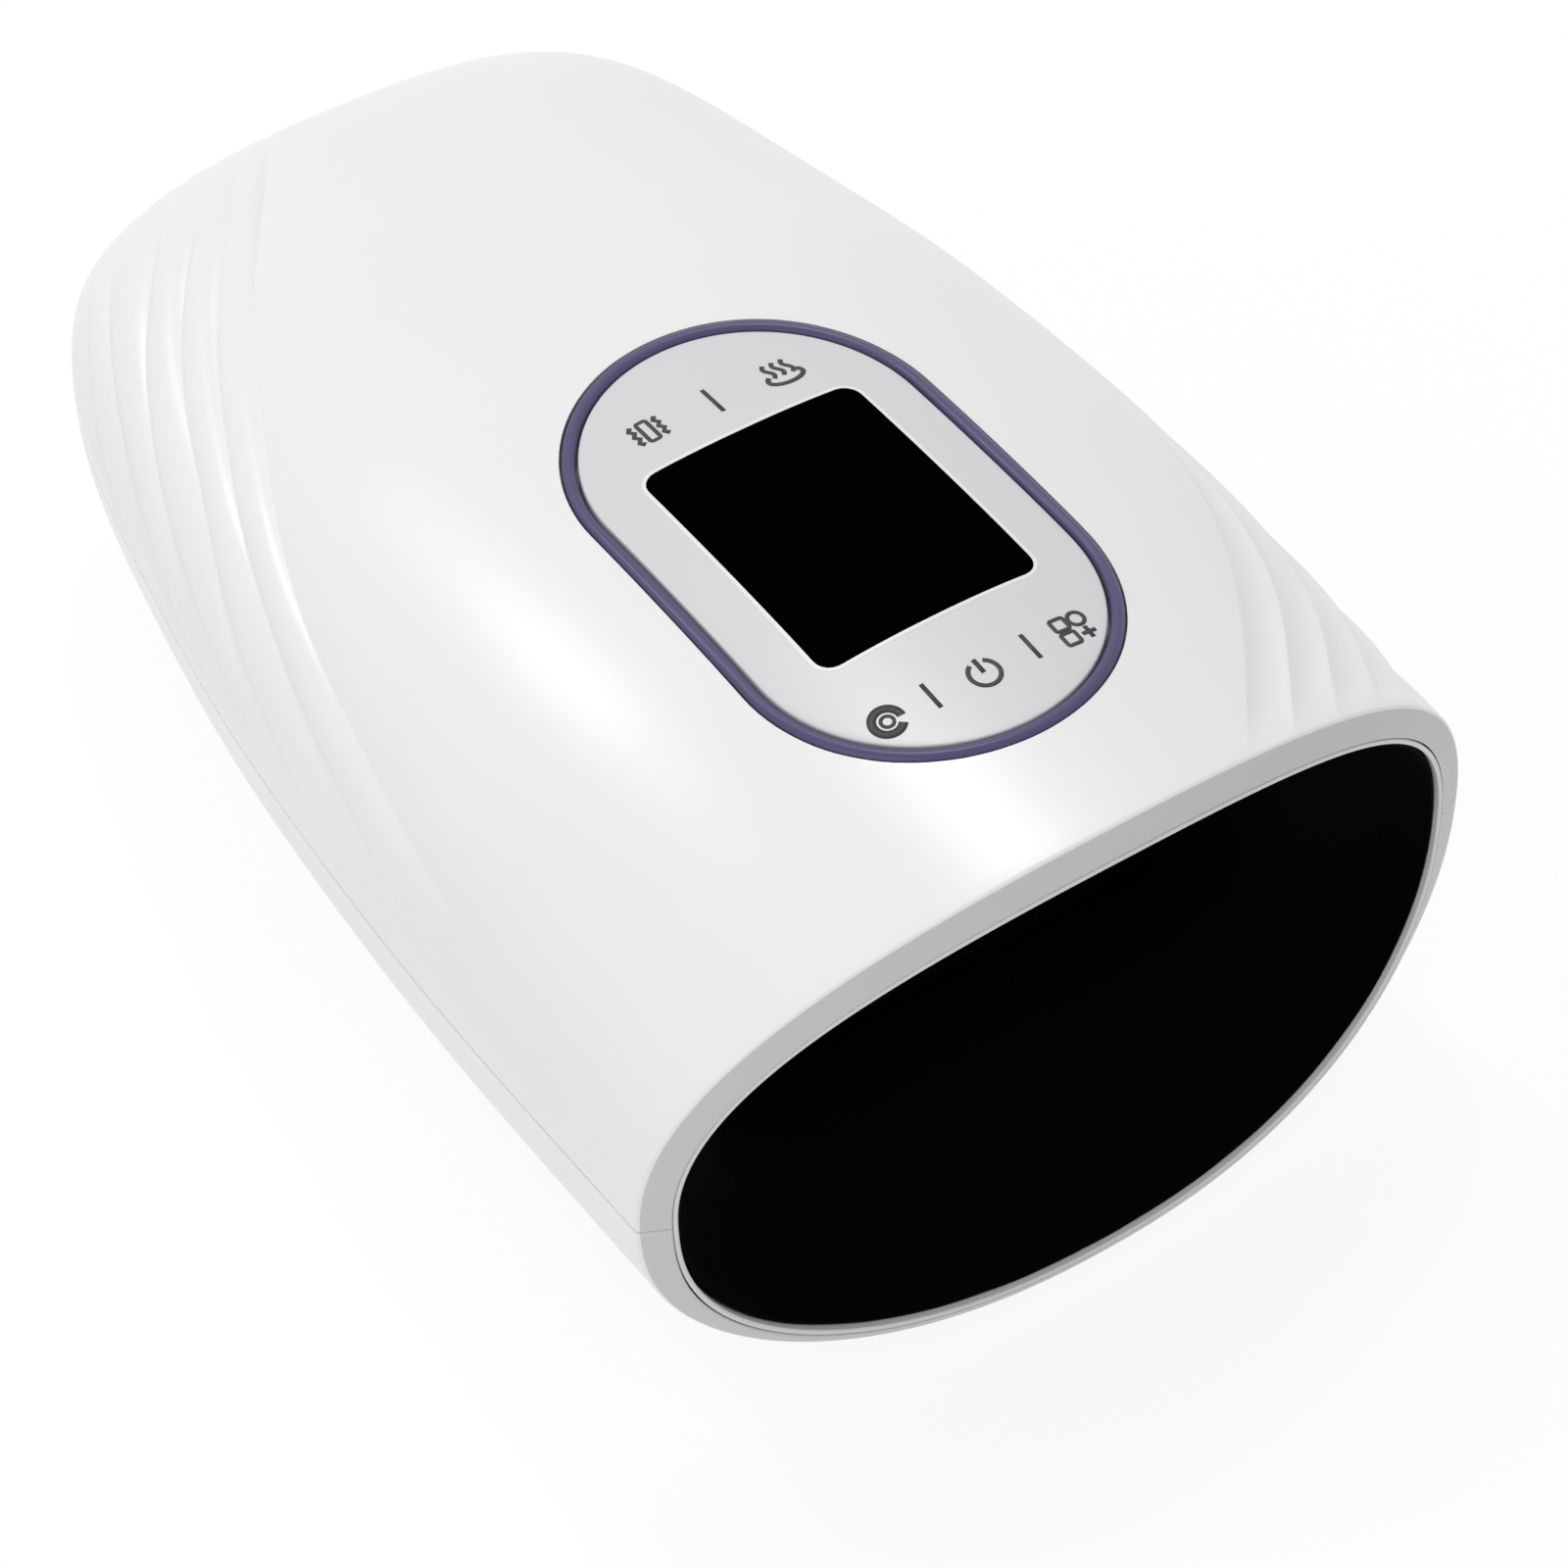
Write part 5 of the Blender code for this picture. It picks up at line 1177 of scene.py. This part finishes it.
class MASSAGER_OT_pocket(bpy.types.Operator):
    """Builds the cloth pocket with its hemmed openings and the two quilted cushions"""
    bl_idname = "massager.pocket"
    bl_label = "Pocket and cushions"

    def execute(self, context):
        settings = context.scene.massager_pocket
        black = cloth("pocket_cloth", settings.colour, 0.0009)
        round_start = liner_end - end_round
        rows = [self.wrinkled(pocket_row(d), d) for d in np.linspace(cloth_start, round_start, 120)]
        for turn in np.linspace(0, pi / 2, 9)[1:]:
            shrink = max(0.0, 1 - end_shrink * (1 - cos(turn)))
            rows.append(pocket_row(round_start + end_reach * sin(turn), shrink))
        rows += [pocket_row(liner_end - end_gap, shrink) for shrink in (0.35, 0.00001)]
        bm = bmesh.new()
        lay_grid(bm, rows)
        merge(bm)
        holes = [face for face in bm.faces if self.is_open(face)]
        bmesh.ops.delete(bm, geom=holes, context="FACES")
        face_outwards(bm)
        area = sum(face.calc_area() for face in bm.faces)
        pocket = new_piece(
            "pocket_cloth", bm, black, "fabric_black", replaces=("fabric_liner",), sharp=60
        )
        thicken(pocket, "cloth_thickness", liner_thick, 0)
        around = cloth_around
        area / around * 1.9
        tape = cloth("hem_tape", settings.colour, 0.0006)
        self.hem("upper_hem", over, parting + liner_rise - hem_sunk, tape)
        self.hem("lower_hem", under, parting - liner_depth + hem_sunk, tape)
        quilt = cloth("cushion_cloth", settings.colour, 0.0012, depth=0.0002)
        upper = from_rows(
            "upper_quilted_cushion", pad_rows(over, settings.channels), quilt, "fabric_black",
            body="upper_press", replaces=("upper_cushion",), sharp=70,
        )
        lower = from_rows(
            "lower_quilted_cushion", pad_rows(under, settings.channels), quilt, "fabric_black",
            body="lower_press", replaces=("lower_cushion",), sharp=70,
        )
        self.skirt("upper_cushion_skirt", over, black, "upper_press")
        self.skirt("lower_cushion_skirt", under, black, "lower_press")
        return {"FINISHED"}

    def wrinkled(self, row, depth):
        """Draws the cloth into soft folds: each has its waves round, its slant and its height."""
        middle = row.mean(axis=0)
        away = row - middle
        turn = np.arctan2(away[:, 2], away[:, 0])
        fold = sum(np.sin(turn * waves + slant * depth) * high for waves, slant, high in folds)
        strength = fold_depth * exp(-((depth - fold_place) / fold_place) ** 2)
        scale = 1 - strength * (1 + fold) / np.linalg.norm(away, axis=1)
        return middle + away * scale[:, None] * np.array([1, 0, 1]) + away * np.array([0, 1, 0])

    def is_open(self, face):
        """Whether a face of the cloth lies in the opening over a cushion."""
        middle = face.calc_center_median()
        height = middle.z - parting
        press, flat = (over, liner_rise / 2) if height > 0 else (under, liner_depth / 2)
        front, back = press.front - window_margin, press.back + window_margin
        across = abs(middle.x) < press.half + window_margin
        return abs(height) > flat and across and front < middle.y - mouth_y < back

    def hem(self, name, press, z, material):
        """The tape round the opening over a cushion."""
        half_length = (press.back - press.front) / 2 + window_margin
        outline = (press.half + window_margin, half_length, hem_corner)
        centre = mouth_y + (press.front + press.back) / 2
        shape = rounded_outline(outline, pad_points) + (0, centre)
        rows = bead_rows(
            np.c_[shape, np.full(len(shape), z)], outwards_of(outline, pad_points), hem_half,
            hem_rise, 12, hem_place,
        )
        from_rows(name, rows, material, "fabric_black", sharp=60)

    def skirt(self, name, press, material, body):
        """A strip of cloth round a press, which hides the gap as it moves."""
        front = press.front + skirt_inset
        half_length = (press.back - front) / 2
        shape = (press.half - skirt_inset, half_length, cushion_corner - skirt_inset)
        outer, inner = (
            rounded_outline(shape, pad_points, inset)[:-1] for inset in (0.0, skirt_thick)
        )
        turned = -int(outer[:, 1].argmax())
        outer, inner = np.roll(outer, turned, axis=0), np.roll(inner, turned, axis=0)
        kept = outer[:, 1] < half_length - skirt_open
        low, high = press.skirt
        rows = np.array([
            np.c_[side[kept] + (0, mouth_y + front + half_length), np.full(kept.sum(), z)]
            for side, z in ((outer, low), (outer, high), (inner, high), (inner, low), (outer, low))
        ])
        ends = np.repeat(rows[:4].mean(axis=0)[None], 5, axis=0)
        rows = np.concatenate([ends[:, :1], rows, ends[:, -1:]], axis=1)
        from_rows(name, rows, material, "fabric_black", body=body, sharp=60)


# Air bags, their nozzles and the valve's spring.
bag_corner, bag_welds = 0.010, 3
bag_border, border_share, weld_width, weld_depth = 0.945, 0.10, 0.0028, 0.6
upper_bag = (0.033, 0.055, 0.171, 0.0734, 0.0784)
lower_bag = (0.029, 0.053, 0.157, 0.0142, 0.0176)
upper_nozzle, lower_nozzle = (0.022, 0.0465, 0.055), (-0.020, 0.0325, 0.048)
nozzle_radius, nozzle_barb, nozzle_tip, nozzle_bore = 0.0013, 0.0015, 0.0012, 0.0008
barb_start, barb_full, nozzle_floor = 0.0012, 0.0010, 0.001


def bag_rows(half_width, front, back, low, high):
    """Rows of an air bag: two crowned skins welded along a flat border and across the bag."""
    middle, centre, half_thick = mouth_y + (front + back) / 2, (low + high) / 2, (high - low) / 2
    half_length = (back - front) / 2
    shape = rounded_outline((half_width, half_length, bag_corner), bag_points)
    shares = np.array([*np.linspace(0, 0.9, 28), 0.925, 0.945, 0.96, 0.98, 1.0])
    places = [half_length * (2 * line / (bag_welds + 1) - 1) for line in range(1, bag_welds + 1)]
    rows = []
    for side, listed in ((-1, shares), (1, shares[::-1])):
        for share in listed:
            x, y = (shape * share).T
            swell = border_share
            if share < bag_border:
                swell += (1 - border_share) * sqrt(max(0.0, 1 - (share / bag_border) ** 4))
            seam = np.clip(sum(np.exp(-((y - place) / weld_width) ** 2) for place in places), 0, 1)
            z = centre + side * half_thick * swell * (1 - weld_depth * seam * (swell > 0.2))
            rows.append(np.stack([x, y + middle, z], 1))
    return rows


class MASSAGER_OT_air(bpy.types.Operator):
    """Builds the two air bags with their nozzles, and the spring of the valve"""
    bl_idname = "massager.air"
    bl_label = "Air bags and spring"

    def execute(self, context):
        material = vinyl("bag_vinyl")
        upper = self.bag("upper_vinyl_bag", upper_bag, upper_nozzle, material, "upper_air_bag")
        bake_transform(upper)
        lower = self.bag("lower_vinyl_bag", lower_bag, lower_nozzle, material, "lower_air_bag")
        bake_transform(lower)
        self.spring()
        return {"FINISHED"}

    def bag(self, name, sizes, nozzle, material, node):
        """A bag with its barbed nozzle."""
        x, start, end = nozzle
        z = (sizes[3] + sizes[4]) / 2
        profile = (
            (0.0, start), (nozzle_radius, start), (nozzle_radius, end - barb_start),
            (nozzle_barb, end - barb_full), (nozzle_tip, end), (nozzle_bore, end),
            (nozzle_bore, start + nozzle_floor), (0.0, start + nozzle_floor),
        )
        turns = np.linspace(0, tau, 25)
        across, up = np.cos(turns), np.sin(turns)
        tube = [
            np.stack([x + radius * across, np.full(25, y), z + radius * up], 1)
            for radius, y in profile
        ]
        bm = bmesh.new()
        for rows in (bag_rows(*sizes), tube):
            part = bmesh.new()
            lay_grid(part, rows)
            close(part)
            mesh = mesh_from(part, "part")
            bm.from_mesh(mesh)
            bpy.data.meshes.remove(mesh)
        return new_piece(name, bm, material, "bag_vinyl", body=None, replaces=(node,), sharp=50)

    def spring(self):
        """The coil of the valve, drawn as one wire along a helix."""
        steel = metal("spring_steel", (0.62, 0.62, 0.64), 0.28, scale=2500)
        wire, radius, turns, steps_round, sides = 0.0003, 0.0018, 5, 28, 10
        start, end, y, z = -0.0068, 0.00087, 0.0985, 0.049
        steps = np.linspace(0, turns * tau, turns * steps_round + 1)
        x = start + (end - start) * steps / steps[-1]
        outwards = np.stack([np.zeros_like(steps), np.cos(steps), np.sin(steps)], 1)
        middles = np.stack([x, np.full_like(x, y), np.full_like(x, z)], 1) + outwards * radius
        around = np.linspace(0, tau, sides + 1)[:, None]
        along = np.array([1.0, 0, 0])
        rows = [np.repeat(middles[:1], sides + 1, 0)]
        for middle, outward in zip(middles, outwards):
            rows.append(middle + wire * (np.cos(around) * outward + np.sin(around) * along))
        rows.append(np.repeat(middles[-1:], sides + 1, 0))
        spring = from_rows(
            "valve_coil", rows, steel, "steel", body=None, replaces=("valve_spring",), sharp=60
        )
        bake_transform(spring)


class MASSAGER_OT_inner_parts(bpy.types.Operator):
    """Gives the carried-over inner parts, the screws and the feet their finishes"""
    bl_idname = "massager.inner_parts"
    bl_label = "Finishes of the inner parts"

    def execute(self, context):
        plastics = {
            "casing_white": ("shell_white", (0.86, 0.865, 0.87), 0.36, 0.03, 3200, 0.000004),
            "frame_grey": ("frame_dark", (0.012, 0.012, 0.013), 0.6, 0.08, 1500, 0.00002),
            "panel_grey": ("key_grey", (0.70, 0.705, 0.715), 0.34),
            "ring_purple": ("bead_purple", (0.098, 0.086, 0.185), 0.34),
            "window_black": ("pane_black", (0.002, 0.002, 0.0025), 0.1, 0.03, 2600, 0.000001),
            "cell_wrap": ("cell_wrap", (0.05, 0.18, 0.42), 0.28, 0.1, 700, 0.00001),
        }
        rubbers = {
            "rubber_dark": ("rubber_dark", (0.045, 0.046, 0.05)),
            "silicone": ("silicone", (0.62, 0.65, 0.67), 0.42),
            "foam_grey": ("foam_grey", (0.12, 0.12, 0.13), 0.92),
            "fabric_black": ("lining_black", (0.01, 0.01, 0.011), 0.9),
            "bag_vinyl": ("vinyl_plain", (0.62, 0.65, 0.68), 0.4),
        }
        finishes = {kind: moulded(*values) for kind, values in plastics.items()}
        finishes.update({kind: rubber(*values) for kind, values in rubbers.items()})
        finishes["steel"] = metal("steel", (0.66, 0.66, 0.68), 0.26)
        finishes["can_metal"] = metal("can_metal", (0.60, 0.60, 0.62), 0.32, stretch=(0.05, 1, 1))
        finishes["film_copper"] = printed_film("film_copper")
        finishes["board_green"] = circuit_board("board_green")
        for name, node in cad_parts.items():
            for holder in node.material_slots:
                kind = holder.material.name.split(".")[0] if holder.material else ""
                if kind not in finishes:
                    raise RuntimeError(f"{name} has no finish for {kind}")
                holder.material = finishes[kind]
        return {"FINISHED"}


class MASSAGER_PT_panel(bpy.types.Panel):
    """Lists the pieces of the hand massager"""
    bl_idname = "MASSAGER_PT_panel"
    bl_label = "Hand massager"
    bl_space_type = "VIEW_3D"
    bl_region_type = "UI"
    bl_category = "Massager"

    def draw(self, context):
        for operator in operators:
            self.layout.operator(operator.bl_idname)


operators = (
    MASSAGER_OT_stage, MASSAGER_OT_casing, MASSAGER_OT_mouth, MASSAGER_OT_panel, MASSAGER_OT_signs,
    MASSAGER_OT_pocket, MASSAGER_OT_air, MASSAGER_OT_inner_parts,
)
groups = {
    "massager_casing": CasingSettings, "massager_panel": PanelSettings,
    "massager_pocket": PocketSettings, "massager_stage": StageSettings,
}
classes = (*groups.values(), *operators, MASSAGER_PT_panel)


def register():
    for kind in classes:
        bpy.utils.register_class(kind)
    for name, group in groups.items():
        setattr(bpy.types.Scene, name, PointerProperty(type=group))


def unregister():
    for name in groups:
        delattr(bpy.types.Scene, name)
    for kind in reversed(classes):
        bpy.utils.unregister_class(kind)


def main():
    register()
    bpy.ops.massager.stage()
    bpy.ops.massager.casing()
    bpy.ops.massager.mouth()
    bpy.ops.massager.panel()
    bpy.ops.massager.signs()
    bpy.ops.massager.pocket()
    bpy.ops.massager.air()
    bpy.ops.massager.inner_parts()


if __name__ == "__main__":
    main()
